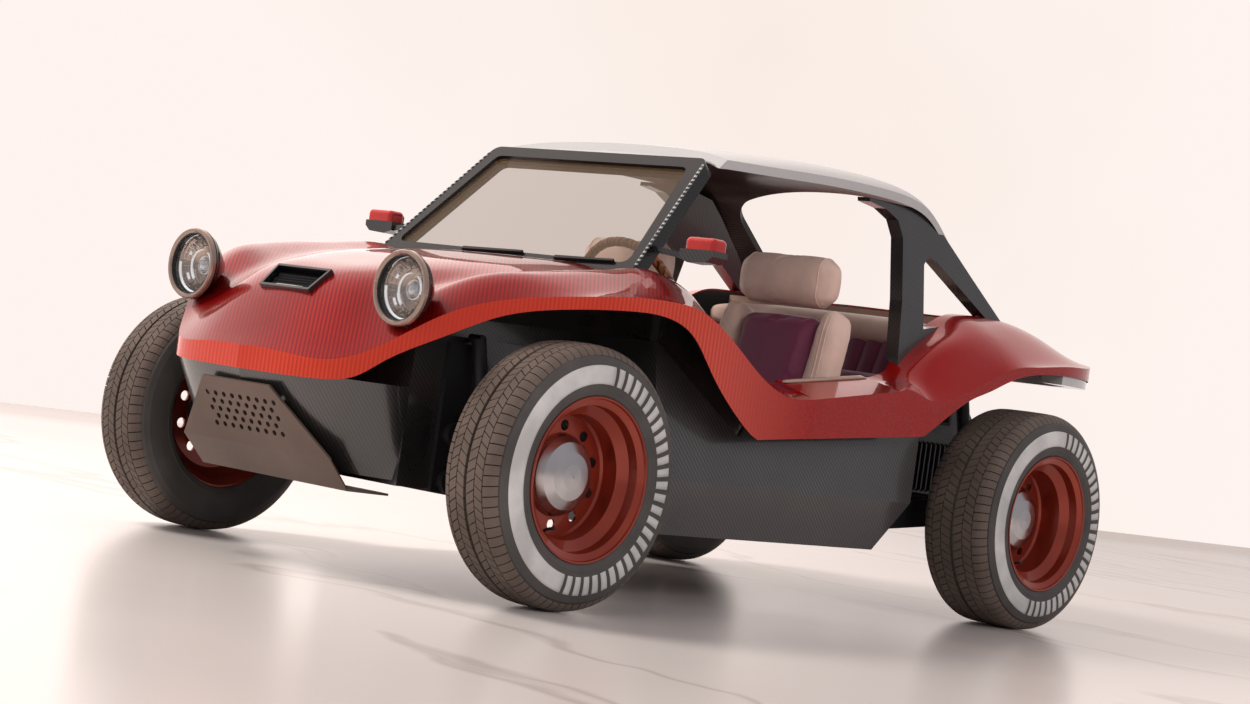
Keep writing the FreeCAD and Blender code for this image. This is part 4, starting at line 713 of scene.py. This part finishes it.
# Light strips inside a lamp: inner and outer radius, depth behind the bezel, start and sweep in degrees.
LAMP_STRIPS = (
    (0.0732, 0.0785, 0.0250, 178, 165),
    (0.0782, 0.0796, 0.0235, 25, 115),
    (0.0392, 0.0410, 0.0360, 85, 120),
    (0.0392, 0.0410, 0.0360, -15, 72),
    (0.0500, 0.0555, 0.0470, 192, 36),
    (0.0500, 0.0555, 0.0470, 298, 30),
    (0.0610, 0.0650, 0.0400, 204, 18),
    (0.0610, 0.0650, 0.0400, -6, 22),
    (0.0610, 0.0645, 0.0400, 36, 14),
    (0.0610, 0.0650, 0.0400, 148, 10),
)
STRIP_THICKNESS = 0.006
# Reflector fins: how many, turn of the first in degrees, half thickness, and (radius, depth) of both ends.
FIN_COUNT, FIN_START, FIN_HALF = 24, 6, 0.0006
FIN_INNER, FIN_OUTER = (0.058, 0.050), (0.072, 0.034)


def build_lamp_insides(side, suffix):
    """Reflector, projector, collar, gasket, light strips and fins behind a lamp's lens."""
    low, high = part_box("headlamp_lenses")
    centre = Vector((side * (high.x - LENS_RADIUS), low.y - 0.004, (low.z + high.z) / 2))
    for name, (material, slot, steps, smooth, profile) in LAMP_PARTS.items():
        made = bmesh.new()
        add_spin(made, profile, centre, steps)
        new_piece(f"{name}_{suffix}", made, material, smooth=smooth)
    made = bmesh.new()
    for inner, outer, depth, start, sweep in LAMP_STRIPS:
        back = depth + STRIP_THICKNESS
        band = [(inner, back), (inner, depth), (outer, depth), (outer, back)]
        add_spin(made, band, centre, max(6, round(sweep / 4)), math.radians(start), math.radians(sweep))
    new_piece("lamp_strips_" + suffix, made, "lamp_strip")
    made = bmesh.new()
    for fin in range(FIN_COUNT):
        angle = math.radians(360 / FIN_COUNT * fin + FIN_START)
        ray = Vector((math.cos(angle), 0, math.sin(angle)))
        across = Vector((-ray.z, 0, ray.x)) * FIN_HALF
        start, end = (centre + ray * radius + Y * depth for radius, depth in (FIN_INNER, FIN_OUTER))
        add_box(made, [start - across, start + across, end + across, end - across], Y * 0.006)
    new_piece("lamp_fins_" + suffix, made, "chrome", smooth=False)


for suffix, side in SIDES:
    build_lamp_insides(side, suffix)


# Intake

# The intake's mouth in the hood: the middle of its lower and upper edge, and half its width there.
SCOOP_LOW, SCOOP_HIGH = Vector((0, -1.4625, 0.703)), Vector((0, -1.3995, 0.764))
SCOOP_HALF_LOW, SCOOP_HALF_HIGH = 0.089, 0.097
MESH_CELL = 0.0066
MESH_START, MESH_END = 0.015, 0.014
SCOOP_BAR = (-0.066, -0.03, 0.0, 0.03, 0.060)
# The honeycomb's walls: radius as a share of the cell, and depth behind the mouth.
MESH_RINGS = ((1.0, 0.013), (0.74, 0.0115), (0.74, 0.018))


def build_scoop_mesh():
    """Honeycomb behind the mouth and a bright bar along its lower lip."""
    up = (SCOOP_HIGH - SCOOP_LOW).normalized()
    out = Vector((0, -up.z, up.y))
    tall = (SCOOP_HIGH - SCOOP_LOW).length

    def at(across, share, depth):
        return SCOOP_LOW + X * across + up * share - out * depth

    made = bmesh.new()
    column_step, row_step = MESH_CELL * math.sqrt(3), MESH_CELL * 1.5
    for row in range(round(tall / row_step)):
        share = MESH_START + row * row_step
        half = between(SCOOP_HALF_LOW, SCOOP_HALF_HIGH, share / tall) - MESH_CELL
        for column in range(-18, 19):
            across = (column + 0.5 * (row % 2)) * column_step
            if abs(across) > half or share > tall - MESH_END:
                continue
            rings = []
            for part, depth in MESH_RINGS:
                rings.append(circle(at(across, share, depth), up, X, MESH_CELL * part, 6))
            add_grid(made, rings, closed_columns=True)
    new_piece("scoop_mesh", made, "gloss_black", smooth=False)
    made = bmesh.new()
    add_tube(made, [at(across, 0.0135, 0.0045) for across in SCOOP_BAR], 0.0026, 10)
    new_piece("scoop_bar", made, "chrome")


build_scoop_mesh()


# Mirror glass and valves

MIRROR_HALF_WIDTH, MIRROR_HALF_HEIGHT, MIRROR_ROUNDING = 0.044, 0.024, 0.012
# Rows of the pane: share of the outline and how far they stand out.
MIRROR_ROWS = ((1.0, -0.002), (1.0, 0.0012), (0.96, 0.0018), (0.5, 0.0026), (0.02, 0.0028))
VALVE_ANGLE = math.radians(300)
# Points of a valve: how far inside the rim's face, and radius.
VALVE_POINTS = ((0.058, 0.1585), (0.050, 0.152), (0.038, 0.148), (0.026, 0.146))


def build_mirror_glass(side, suffix):
    """A rounded pane on the rear face of a mirror."""
    low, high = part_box("mirror_left")
    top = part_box("mirror_caps")[1].z
    middle = Vector((side * (high.x - 0.054), high.y, (low.z + top) / 2 + 0.004))
    outline = []
    for corner, (turn_x, turn_z) in enumerate(((1, 1), (-1, 1), (-1, -1), (1, -1))):
        for share in shares(6):
            angle = math.pi / 2 * (corner + share)
            outline.append((
                turn_x * (MIRROR_HALF_WIDTH - MIRROR_ROUNDING) + MIRROR_ROUNDING * math.cos(angle),
                turn_z * (MIRROR_HALF_HEIGHT - MIRROR_ROUNDING) + MIRROR_ROUNDING * math.sin(angle),
            ))
    rows = []
    for inset, stand in MIRROR_ROWS:
        rows.append([middle + Vector((x * inset, stand, z * inset)) for x, z in outline])
    made = bmesh.new()
    add_grid(made, rows, closed_columns=True)
    new_piece("mirror_glass_" + suffix, made, "mirror_glass")


def build_valve(name):
    """A short rubber valve inside the rim's barrel."""
    low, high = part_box("rim_" + name)
    centre = (low + high) / 2
    side = 1 if centre.x > 0 else -1
    face = high.x if side > 0 else -low.x
    ray = Vector((0, -math.cos(VALVE_ANGLE), math.sin(VALVE_ANGLE)))
    points = []
    for inward, radius in VALVE_POINTS:
        points.append(Vector((side * (face - inward), centre.y, centre.z)) + ray * radius)
    made = bmesh.new()
    add_tube(made, points, 0.0042, 10)
    new_piece("valve_" + name, made, "black_plastic", "wheel_" + name)


for suffix, side in SIDES:
    build_mirror_glass(side, suffix)
for wheel in WHEELS:
    build_valve(wheel)


# Steering wheel

GRIP = 0.0138
FINGER_GROOVES, GROOVE_DEPTH = 30, 0.07
SPOKE_DISH = 0.014
BOSS = ((0.0, 0.012), (0.022, 0.011), (0.030, 0.006), (0.033, -0.004), (0.034, -0.030), (0.0, -0.031))


def build_steering_wheel():
    """Wooden rim with finger grooves, three flat spokes and a boss, about the joint's own axis."""
    low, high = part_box("steering_wheel")
    joint = next(item for item in frame["joints"] if item["name"] == "steering_wheel_turn")
    hub = Vector(joint["pos_m"])
    axis = Vector(joint["axis"]).normalized()
    up = X.cross(axis) if X.cross(axis).z > 0 else axis.cross(X)
    reach = (high.x - low.x) / 2 - GRIP

    def new_wheel_piece(name, made, material, smooth=True):
        new_piece(name, made, material, "steering_wheel", smooth, "steering_wheel")

    rings = []
    for angle in full_turn(120):
        ray = X * math.cos(angle) + up * math.sin(angle)
        finger = 1 - GROOVE_DEPTH * max(0.0, math.cos(angle * FINGER_GROOVES)) ** 2
        rings.append(circle(hub + ray * reach, ray, axis, GRIP * finger, 14))
    made = bmesh.new()
    add_rod(made, rings, closed=True)
    new_wheel_piece("wheel_rim_wood", made, "wood_rim")
    made = bmesh.new()
    inner, outer = 0.028, reach - 0.006
    for direction in (X, -X, -up):
        side = axis.cross(direction).normalized()
        for share in (0.0, 0.5):
            start = hub - axis * SPOKE_DISH + direction * between(inner, outer, share)
            end = hub - axis * SPOKE_DISH * (0.5 - share) + direction * between(inner, outer, share + 0.5)
            wide, narrow = side * (0.014 - 0.004 * share), side * (0.012 - 0.004 * share)
            ring = moved([start + wide, start - wide, end - narrow, end + narrow], axis * 0.002)
            add_box(made, ring, axis * -0.004)
    new_wheel_piece("wheel_spokes", made, "lamp_metal", smooth=False)
    made = bmesh.new()
    add_spin(made, BOSS, hub, 48, axes=(X, axis, up))
    new_wheel_piece("wheel_boss", made, "black_plastic")


build_steering_wheel()


# Inner side walls, sill trim, pillar edges and roof lip

LINER_FRONT, LINER_REAR, LINER_INNER, LINER_OUTER = -0.662, -0.11, 0.40, 0.555
LINER_FOOT, LINER_LAP, LINER_INSET, LINER_WALL = 0.63, 0.012, 0.009, 0.004
HOOD_CLEARANCE = 0.0015
# The tub's side panel: half width at a height, how it narrows upwards, and where its edge is looked for.
TUB_SIDE, TUB_SIDE_HEIGHT, TUB_SIDE_LEAN = 0.6174, 0.5, 0.1778
TUB_EDGE = (0.572, 0.58, 0.588, 0.596, 0.604)
TRIM_MIDDLE, TRIM_HALF, TRIM_RISE = 0.566, 0.0145, 0.0055
TRIM_FRONT, TRIM_REAR = -0.098, 0.278
PILLAR_LOW, PILLAR_HIGH, PILLAR_OUTER, PILLAR_INNER = 0.900, 1.190, 0.4960, 0.40
ROOF_LIP_HALF, ROOF_LIP_START, ROOF_LIP_WALL = 0.404, -0.374, 0.004
ROOF_EDGE_LOW, ROOF_EDGE_HIGH, ROOF_EDGE_REAR = 1.200, 1.255, -0.25
FAR_AHEAD, FAR_ABOVE = -3, 3


def tub_top(y):
    """Height of the tub's upper edge at a distance along the car."""
    tops = [struck("tub", (x, y, FAR_ABOVE), -Z) for x in TUB_EDGE]
    return max(top.z for top in tops if top)


def build_side_liner():
    """A composite wall from the tub's edge up to the underside of the hood and round to the footwell."""
    path = [(between(LINER_INNER, LINER_OUTER, share), LINER_FRONT, LINER_FOOT) for share in shares(8)]
    for share in shares(32):
        y = between(LINER_FRONT + 0.006, LINER_REAR, share)
        low = tub_top(y) - LINER_LAP
        path.append((TUB_SIDE - (low - TUB_SIDE_HEIGHT) * TUB_SIDE_LEAN - LINER_INSET, y, low))
    rows = []
    for x, y, low in path:
        high = struck("body_front", (x, y, 0.45), Z).z - HOOD_CLEARANCE
        rows.append([Vector((x, y, between(low, high, share))) for share in shares(3)])
    made = bmesh.new()
    add_slab(made, rows, Vector((-LINER_WALL, LINER_WALL, 0)))
    liner = new_piece("side_liner_left", made, "dark_composite", smooth=False)
    mirror_copy(liner)


def build_sill_trim():
    """A flat padded strip of leather along the sill's inner edge."""
    rings = []
    for share in shares(24):
        y = between(TRIM_FRONT, TRIM_REAR, share)
        top = struck("sill_left", (TRIM_MIDDLE, y, FAR_ABOVE), -Z)
        taper = 1 - abs(2 * share - 1) ** 12
        centre = Vector((TRIM_MIDDLE, y, top.z - 0.001 + 0.001 * taper))
        rings.append(circle(centre, X * TRIM_HALF, Z * TRIM_RISE * taper, 1.0, 14))
    made = bmesh.new()
    add_rod(made, rings)
    trim = new_piece("sill_trim_left", made, "tan_hide")
    for piece in (trim, mirror_copy(trim)):
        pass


def frame_corner(z):
    """The outer front corner of the screen frame's left pillar at a height."""
    x, inset, step = PILLAR_OUTER, 0.0015, 0.00025
    while x > PILLAR_INNER:
        hit = struck("windscreen_frame", (x, FAR_AHEAD, z), Y)
        if hit:
            return Vector((x - inset, hit.y + inset, z))
        x -= step
    return None


def build_pillar_glints():
    """A thin strip down the outer front corner of each screen pillar, coloured with a painted highlight."""
    low, high = frame_corner(PILLAR_LOW), frame_corner(PILLAR_HIGH)
    made = bmesh.new()
    add_tube(made, [low.lerp(high, between(-0.04, 1.06, share)) for share in shares(12)], 0.0038, 10)
    # The strip's colour is a painted highlight of bright ticks.
    mirror_copy(new_piece("pillar_edge_left", made, "edge_weave"))


def roof_front(x):
    """The lowest point of the roof's front edge at a distance from the middle."""
    z, step = ROOF_EDGE_LOW, 0.0005
    while z < ROOF_EDGE_HIGH:
        hit = struck("roof_panel", (x, FAR_AHEAD, z), Y)
        if hit and hit.y < ROOF_EDGE_REAR:
            return hit
        z += step
    return None


def build_roof_lip():
    """A pale lip that closes the roof onto the screen frame."""
    rows = []
    for share in shares(32):
        x = between(-ROOF_LIP_HALF, ROOF_LIP_HALF, share)
        edge = roof_front(x)
        if edge is None:
            continue
        start = struck("windscreen_frame", (x, ROOF_LIP_START, FAR_ABOVE), -Z) + Z * 0.0004
        end = edge + Vector((0, ROOF_LIP_WALL, 0.0045))
        rows.append([start, start.lerp(end, 0.5) + Z * 0.0015, end])
    made = bmesh.new()
    add_slab(made, rows, Z * -ROOF_LIP_WALL)
    new_piece("roof_lip", made, "roof_paint", smooth=False)


build_side_liner()
build_sill_trim()
build_pillar_glints()
build_roof_lip()


# Engine and tail

ENGINE_FINS = 16
# Corners of a cooling fin: how far from the engine's side, and height from its middle.
ENGINE_FIN = ((-0.004, -0.085), (0.016, -0.075), (0.016, 0.075), (-0.004, 0.085))
PULLEY = (
    (0.0, 0.030), (0.012, 0.030), (0.014, 0.022), (0.020, 0.020), (0.062, 0.018), (0.070, 0.022),
    (0.070, 0.016), (0.063, 0.012), (0.070, 0.008), (0.070, 0.003), (0.060, -0.001),
)
GUARD_RINGS = (0.086, 0.100, 0.114)
GUARD_INNER, GUARD_OUTER = 0.072, 0.115
BOLT_CIRCLE = 0.150
BOLT_HEAD = ((0.0, 0.009), (0.009, 0.009), (0.0105, 0.0075), (0.0105, -0.001))
WASHER = ((0.0, 0.0022), (0.0150, 0.0022), (0.0155, -0.001))
TAIL_LAMP_SIDE, TAIL_LAMP_HEIGHT = 0.46, 0.875
# Parts of a tail lamp: name, material, slot, and (radius, height) points.
TAIL_LAMP_PARTS = (
    ("tail_lens", "tail_lens", "body_paint", (
        (0.0, 0.0065), (0.010, 0.006), (0.018, 0.0045), (0.0205, 0.002), (0.0205, -0.006),
    )),
    ("tail_ring", "chrome", "lamp_metal", (
        (0.0206, -0.002), (0.0212, 0.0045), (0.0230, 0.0055), (0.0245, 0.0035), (0.0248, -0.006),
    )),
)


def build_engine():
    """Cooling fins down the engine's sides, a belt pulley, a fan guard and bolts on its rear face."""
    low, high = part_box("engine_block")
    middle = (low + high) / 2
    made = bmesh.new()
    for side in (-1, 1):
        for index in range(ENGINE_FINS):
            y = between(high.y - 0.46, high.y - 0.06, index / (ENGINE_FINS - 1))
            face = struck("engine_block", (side * 0.6, y, middle.z), X * -side).x
            ring = []
            for stand, rise in ENGINE_FIN:
                ring.append(Vector((face + side * stand, y, middle.z + rise)))
            add_box(made, ring, Y * 0.006)
    new_piece("engine_fins", made, "engine_metal", smooth=False)
    hub = Vector((0, high.y, middle.z + 0.01))
    made = bmesh.new()
    add_spin(made, PULLEY, hub, 48)
    new_piece("engine_pulley", made, "lamp_metal")
    made = bmesh.new()
    for radius in GUARD_RINGS:
        add_tube(made, circle(hub + Y * 0.005, X, Z, radius, 48), 0.003, 6, closed=True)
    for turn in full_turn(8):
        ray = Vector((math.cos(turn), 0, math.sin(turn)))
        add_tube(made, [hub + ray * reach + Y * 0.004 for reach in (GUARD_INNER, GUARD_OUTER)], 0.0028, 6)
    new_piece("engine_guard", made, "black_plastic")
    made = bmesh.new()
    for turn in full_turn(8, math.pi / 8):
        place = Vector((BOLT_CIRCLE * math.cos(turn), high.y, middle.z + BOLT_CIRCLE * math.sin(turn)))
        add_spin(made, BOLT_HEAD, place, 6)
        add_spin(made, WASHER, place, 24)
    new_piece("engine_bolts", made, "lamp_metal", smooth=False)


def build_tail_lamps():
    """Round red lenses in bright rings, square to the tail's curved rear face."""
    for suffix, side in SIDES:
        start = (side * TAIL_LAMP_SIDE, 3, TAIL_LAMP_HEIGHT)
        face = struck("body_rear", start, -Y)
        turn = Y.rotation_difference(slope_at("body_rear", start, -Y))
        for name, material, slot, profile in TAIL_LAMP_PARTS:
            made = bmesh.new()
            add_spin(made, profile, face, 40, axes=[turn @ axis for axis in (X, Y, Z)])
            new_piece(f"{name}_{suffix}", made, material)


build_engine()
build_tail_lamps()


# Padding

PRESSURE, CLOTH_FRAMES, CLOTH_QUALITY = 4.0, 20, 4
SEAT_LEAN = Matrix.Rotation(-math.radians(13), 3, "X")
SEAT_SEAM_START, SEAT_SEAM_SWEEP = math.radians(-38), math.radians(155)
HEADREST_WIDTH, HEADREST_SEAM = 0.35, 0.040
FLUTES, FLUTE_STEPS, FLUTE_DEPTH = 14, 8, 0.012
BENCH_BACK = 0.05


def add_rounded_block(made, low, high, rounding, crown, cuts, pivot=None):
    """A box with rounded edges and crowned faces, leaned back as a seat about a pivot where it has one."""
    low, high = Vector(low), Vector(high)
    centre = (low + high) / 2
    half = (high - low) / 2
    start = len(made.verts)
    bmesh.ops.create_cube(made, size=2.0)
    made.verts.ensure_lookup_table()
    fresh = made.verts[start:]
    edges = [edge for edge in made.edges if edge.verts[0] in fresh and edge.verts[1] in fresh]
    bmesh.ops.subdivide_edges(made, edges=edges, cuts=cuts, use_grid_fill=True)
    made.verts.ensure_lookup_table()
    for vertex in made.verts[start:]:
        unit = vertex.co.copy()
        spot = unit * half
        inner = Vector([max(min(spot[k], half[k] - rounding), rounding - half[k]) for k in range(3)])
        away = spot - inner
        if away.length > 1e-9:
            away = away.normalized() * rounding
        swell = [1 + crown * (1 - unit[(k + 1) % 3] ** 2) * (1 - unit[(k + 2) % 3] ** 2) for k in range(3)]
        vertex.co = centre + Vector([(inner[k] + away[k]) * swell[k] for k in range(3)])
        if pivot is not None:
            vertex.co = pivot + SEAT_LEAN @ (vertex.co - pivot)


def evaluated_mesh(piece):
    """A piece's mesh with its modifiers applied."""
    bpy.context.view_layer.update()
    graph = bpy.context.evaluated_depsgraph_get()
    return bpy.data.meshes.new_from_object(piece.evaluated_get(graph))


def puff(piece, voxel, cap):
    """Remeshes a closed shape and fills it with air as cloth, no point moving further than the cap."""
    material = piece.data.materials[0]
    remesh = piece.modifiers.new("remesh", "REMESH")
    remesh.mode = "VOXEL"
    remesh.voxel_size = voxel
    start = evaluated_mesh(piece)
    piece.modifiers.clear()
    piece.data = start
    cloth = piece.modifiers.new("cloth", "CLOTH")
    cloth.settings.quality = CLOTH_QUALITY
    cloth.settings.use_pressure = True
    cloth.settings.uniform_pressure_force = PRESSURE
    cloth.settings.effector_weights.gravity = 0.0
    cloth.collision_settings.use_collision = False
    scene = bpy.context.scene
    for step in range(1, CLOTH_FRAMES + 1):
        scene.frame_set(step)
    blown = evaluated_mesh(piece)
    for vertex, before in zip(blown.vertices, start.vertices):
        move = vertex.co - before.co
        if move.length > cap:
            vertex.co = before.co + move * (cap / move.length)
    piece.modifiers.clear()
    piece.data = blown
    scene.frame_set(1)
    rounder = piece.modifiers.new("rounder", "SUBSURF")
    rounder.levels = rounder.render_levels = 1
    piece.data = evaluated_mesh(piece)
    piece.modifiers.clear()
    piece.data.materials.clear()
    piece.data.materials.append(material)
    piece.data.shade_smooth()


def new_pad(name, material, node, blocks, voxel, cap, cuts=8, pivot=None):
    """A blown pad of rounded blocks (low corner, high corner, rounding, crown), which stands for a node."""
    made = bmesh.new()
    for low, high, rounding, crown in blocks:
        add_rounded_block(made, low, high, rounding, crown, cuts, pivot)
    piece = new_piece(name, made, material)
    puff(piece, voxel, cap)
    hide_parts(node)
    return piece


def mirror_pad(piece, node):
    """A pad's twin on the car's other side."""
    twin = mirror_copy(piece)
    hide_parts(node)


def add_seam(made, piece, across, middle, start, sweep, radius, steps):
    """A line of piping round a pad in the plane x = across, between two angles about the middle (y, z)."""
    bpy.context.view_layer.update()
    core = Vector((across, *middle))
    points = []
    for share in shares(steps):
        angle = start + sweep * share
        ray = Vector((0, -math.cos(angle), math.sin(angle)))
        found = piece.ray_cast(core + ray * 0.6, -ray)
        if found[0]:
            points.append(found[1] + ray * radius * 0.2)
    if len(points) > 2:
        add_tube(made, points, radius)


def build_seats():
    """Two seats: back panel between bolsters, cushion between side pads, and piping on the bolsters."""
    low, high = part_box("seat_left")
    pivot = Vector(((low.x + high.x) / 2, high.y - 0.13, 0.40))
    front, face, rear, top = low.y + 0.005, pivot.y - 0.107, pivot.y + 0.012, high.z - 0.004

    def new_part(kind, material, cap, lean, *blocks):
        return new_pad(f"seat_{kind}_left", material, "seat_left", blocks, 0.009, cap, pivot=lean)

    back = new_part(
        "back_panel", "burgundy_leather", 0.014, pivot,
        ((low.x + 0.068, face + 0.012, 0.40), (high.x - 0.066, rear - 0.002, top - 0.012), 0.035, 0.05),
    )
    bolsters = new_part(
        "back_bolsters", "cream_leather", 0.012, pivot,
        ((high.x - 0.070, face, 0.36), (high.x - 0.004, rear, top), 0.030, 0.03),
        ((low.x + 0.004, face, 0.36), (low.x + 0.072, rear, top), 0.030, 0.03),
    )
    made = bmesh.new()
    core = (pivot.y + 0.02, 0.60)
    for across in (high.x - 0.022, high.x - 0.034, low.x + 0.022, low.x + 0.034):
        add_seam(made, bolsters, across, core, SEAT_SEAM_START, SEAT_SEAM_SWEEP, 0.0019, 40)
    seams = new_piece("seat_seams_left", made, "cream_leather")
    cushion = new_part(
        "cushion", "burgundy_leather", 0.014, None,
        ((low.x + 0.075, low.y + 0.02, 0.30), (high.x - 0.075, pivot.y - 0.03, 0.415), 0.035, 0.08),
    )
    sides = new_part(
        "sides", "cream_leather", 0.010, None,
        ((low.x + 0.005, front, 0.23), (low.x + 0.08, pivot.y - 0.01, 0.43), 0.03, 0.04),
        ((high.x - 0.08, front, 0.23), (high.x - 0.005, pivot.y - 0.01, 0.43), 0.03, 0.04),
        ((low.x + 0.05, front, 0.23), (high.x - 0.05, low.y + 0.07, 0.40), 0.028, 0.04),
    )
    mirror_copy(seams)
    for piece in (back, bolsters, cushion, sides):
        mirror_pad(piece, "seat_right")


def build_headrests():
    """Two pillows with piping near their ends."""
    low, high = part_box("headrests")
    inner = high.x - HEADREST_WIDTH
    block = ((inner + 0.008, low.y + 0.010, low.z + 0.012), high - Vector((0.008, 0.010, 0.010)), 0.038, 0.10)
    pillow = new_pad("headrest_left", "cream_leather", "headrests", [block], 0.006, 0.010, 12)
    made = bmesh.new()
    core = ((low.y + high.y) / 2, (low.z + high.z) / 2)
    for across in (inner + HEADREST_SEAM, high.x - HEADREST_SEAM):
        add_seam(made, pillow, across, core, 0.0, 2 * math.pi, 0.0016, 64)
    mirror_copy(new_piece("headrest_seams_left", made, "cream_leather"))
    mirror_pad(pillow, "headrests")


def build_bench():
    """Bench cushion, cream rail along the top of its back, and the fluted back."""
    low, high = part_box("rear_bench")
    left, right = low.x + 0.004, high.x - 0.004
    seat = ((left, low.y + 0.004, low.z + 0.01), (right, high.y - 0.12, low.z + 0.105), 0.03, 0.05)
    new_pad("bench_cushion", "burgundy_leather", "rear_bench", [seat], 0.012, 0.012, 10)
    rail = ((left, high.y - 0.12, high.z - 0.075), (right, high.y - 0.006, high.z - 0.003), 0.028, 0.04)
    new_pad("bench_rail", "cream_leather", "rear_bench", [rail], 0.012, 0.010, 10)
    rows = []
    for share in shares(12):
        up = between(low.z + 0.09, high.z - 0.06, share)
        lean = BENCH_BACK * (1 - share)
        row = []
        for index in range(FLUTES * FLUTE_STEPS + 1):
            across = between(low.x + 0.03, high.x - 0.03, index / (FLUTES * FLUTE_STEPS))
            swell = abs(math.sin(math.pi * index / FLUTE_STEPS)) ** 0.6 * FLUTE_DEPTH
            row.append(Vector((across, high.y - 0.088 - swell - lean, up)))
        rows.append(row)
    made = bmesh.new()
    face = add_grid(made, rows)
    back = add_grid(made, [moved(row, Y * BENCH_BACK) for row in rows])
    for end in (0, -1):
        bridge(made, face[end], back[end], closed=False)
    panel = new_piece("bench_back_panel", made, "burgundy_leather", instead="rear_bench")


build_seats()
build_headrests()
build_bench()


# Floor, camera and light

# Where the floor meets the wall: two points of the line on the ground, to the car's right.
WALL_NEAR, WALL_FAR = Vector((-6.430, 2.070, 0)), Vector((-3.873, 11.227, 0))
WALL_RUN = (WALL_FAR - WALL_NEAR).normalized()
WALL_AWAY = Vector((WALL_RUN.y, -WALL_RUN.x, 0))
# Painted shade on the floor along the wall: full within the first distance, gone by the second.
WALL_SHADE_FROM, WALL_SHADE_TO = 1.0, 1.6
# Towards the brightest part of the surroundings, behind the car's right side.
GLARE = (-0.85, 0.45, 0.27)


def marble(look):
    """Polished pale stone with soft grey veins, darkened along the wall by painted shade."""
    warp = look.add("TexNoise", {"Vector": look.where, "Scale": 0.5, "Detail": 4.0}).outputs
    shift = look.add("VectorMath", {0: warp["Color"], 1: (1.6, 1.6, 0)}, operation="MULTIPLY").outputs[0]
    warped = look.add("VectorMath", {0: look.where, 1: shift}, operation="ADD").outputs[0]
    stretched = {"Vector": warped, "Rotation": (0, 0, 0.75), "Scale": (0.22, 0.75, 1.0)}
    turned = look.add("Mapping", stretched).outputs[0]
    veins = look.add("TexNoise", {"Vector": turned, "Scale": 0.8, "Detail": 5.0, "Roughness": 0.5})
    thin = look.math("ABSOLUTE", look.math("SUBTRACT", veins.outputs["Fac"], 0.5))
    stone = look.tint(thin, (0.54, 0.48, 0.45), (0.70, 0.64, 0.61), 0.0, 0.014)
    start = WALL_NEAR.dot(WALL_AWAY)
    # Painted shade: the floor darkens towards the wall.
    wall_shade = look.ranged(look.dot(look.where, WALL_AWAY), start + WALL_SHADE_FROM, start + WALL_SHADE_TO)
    return {
        "Base Color": look.blend(wall_shade, (0.46, 0.38, 0.34, 1), stone),
        "Roughness": look.fade(warp["Fac"], 0.16, 0.3),
        "Specular IOR Level": 0.4,
    }


def build_stage():
    """A floor that ends in a straight line where the pale background starts."""
    ends = [WALL_NEAR - WALL_RUN * 60, WALL_NEAR + WALL_RUN * 60]
    made = bmesh.new()
    made.faces.new([made.verts.new(corner) for corner in ends + moved(reversed(ends), WALL_AWAY * 80)])
    mesh = bpy.data.meshes.new("floor")
    made.to_mesh(mesh)
    made.free()
    mesh.materials.append(new_material("marble", marble))
    floor = bpy.data.objects.new("floor", mesh)
    bpy.context.scene.collection.objects.link(floor)


def build_world():
    """Pale warm background, brightest where the photograph's reflections come from."""
    world = bpy.data.worlds.new("studio")
    look = Look(world, "Generated")
    pale = look.tint(look.noise(3.0, 4.0), (0.93, 0.82, 0.76), (1.0, 0.90, 0.86), 0.3, 0.6)
    share = look.dot(look.where, GLARE)
    sides = look.tint(share, (0.36, 0.35, 0.37), (1.0, 0.88, 0.83), 0.1, 0.8)
    sun = look.ranged(share, 0.86, 0.96, interpolation_type="SMOOTHSTEP")
    glare = look.blend(sun, sides, (1.6, 1.40, 1.32, 1))
    lit = look.add("Background", {"Color": glare, "Strength": 0.95}).outputs[0]
    seen = look.add("Background", {"Color": pale}).outputs[0]
    path = look.add("LightPath").outputs
    either = look.math("MAXIMUM", path["Is Camera Ray"], path["Is Transmission Ray"])
    mix = look.add("MixShader", {0: either, 1: lit, 2: seen})
    look.add("OutputWorld", {"Surface": mix.outputs[0]})
    bpy.context.scene.world = world


def add_lamp(name, place, target, size, power, colour):
    """A soft lamp that no surface mirrors."""
    data = bpy.data.lights.new(name, "AREA")
    data.shape = "RECTANGLE"
    data.size, data.size_y = size
    data.energy = power
    data.color = colour
    lamp = bpy.data.objects.new(name, data)
    lamp.location = place
    lamp.rotation_euler = (Vector(target) - Vector(place)).to_track_quat("-Z", "Y").to_euler()
    lamp.visible_glossy = False
    bpy.context.scene.collection.objects.link(lamp)


def build_camera():
    """The photograph's view: low, from the front left, with the horizon tilted."""
    place = Vector((4.9238, -5.5623, 0.5942))
    heading, pitch, roll = math.radians(42.247), math.radians(0.602), math.radians(8.057)
    data = bpy.data.cameras.new("camera")
    data.sensor_width = 36.0
    data.lens = 71.46
    camera = bpy.data.objects.new("camera", data)
    turn = Euler((math.radians(90) + pitch, 0, heading)).to_matrix() @ Matrix.Rotation(roll, 3, "Z")
    camera.matrix_world = Matrix.Translation(place) @ turn.to_4x4()
    bpy.context.scene.collection.objects.link(camera)
    bpy.context.scene.camera = camera


build_stage()
build_world()
build_camera()
add_lamp("key", (-3.6, -3.9, 5.9), (0, -0.3, 0.3), (2.4, 2.4), 470, (1.0, 0.95, 0.90))
add_lamp("front", (1.6, -6.5, 2.6), (0, -0.8, 0.5), (4.0, 1.6), 60, (1.0, 0.95, 0.92))
add_lamp("side", (6.5, -0.5, 3.4), (0, 0, 0.5), (5.0, 2.0), 130, (1.0, 0.96, 0.94))
bpy.context.scene.view_settings.view_transform = "Standard"
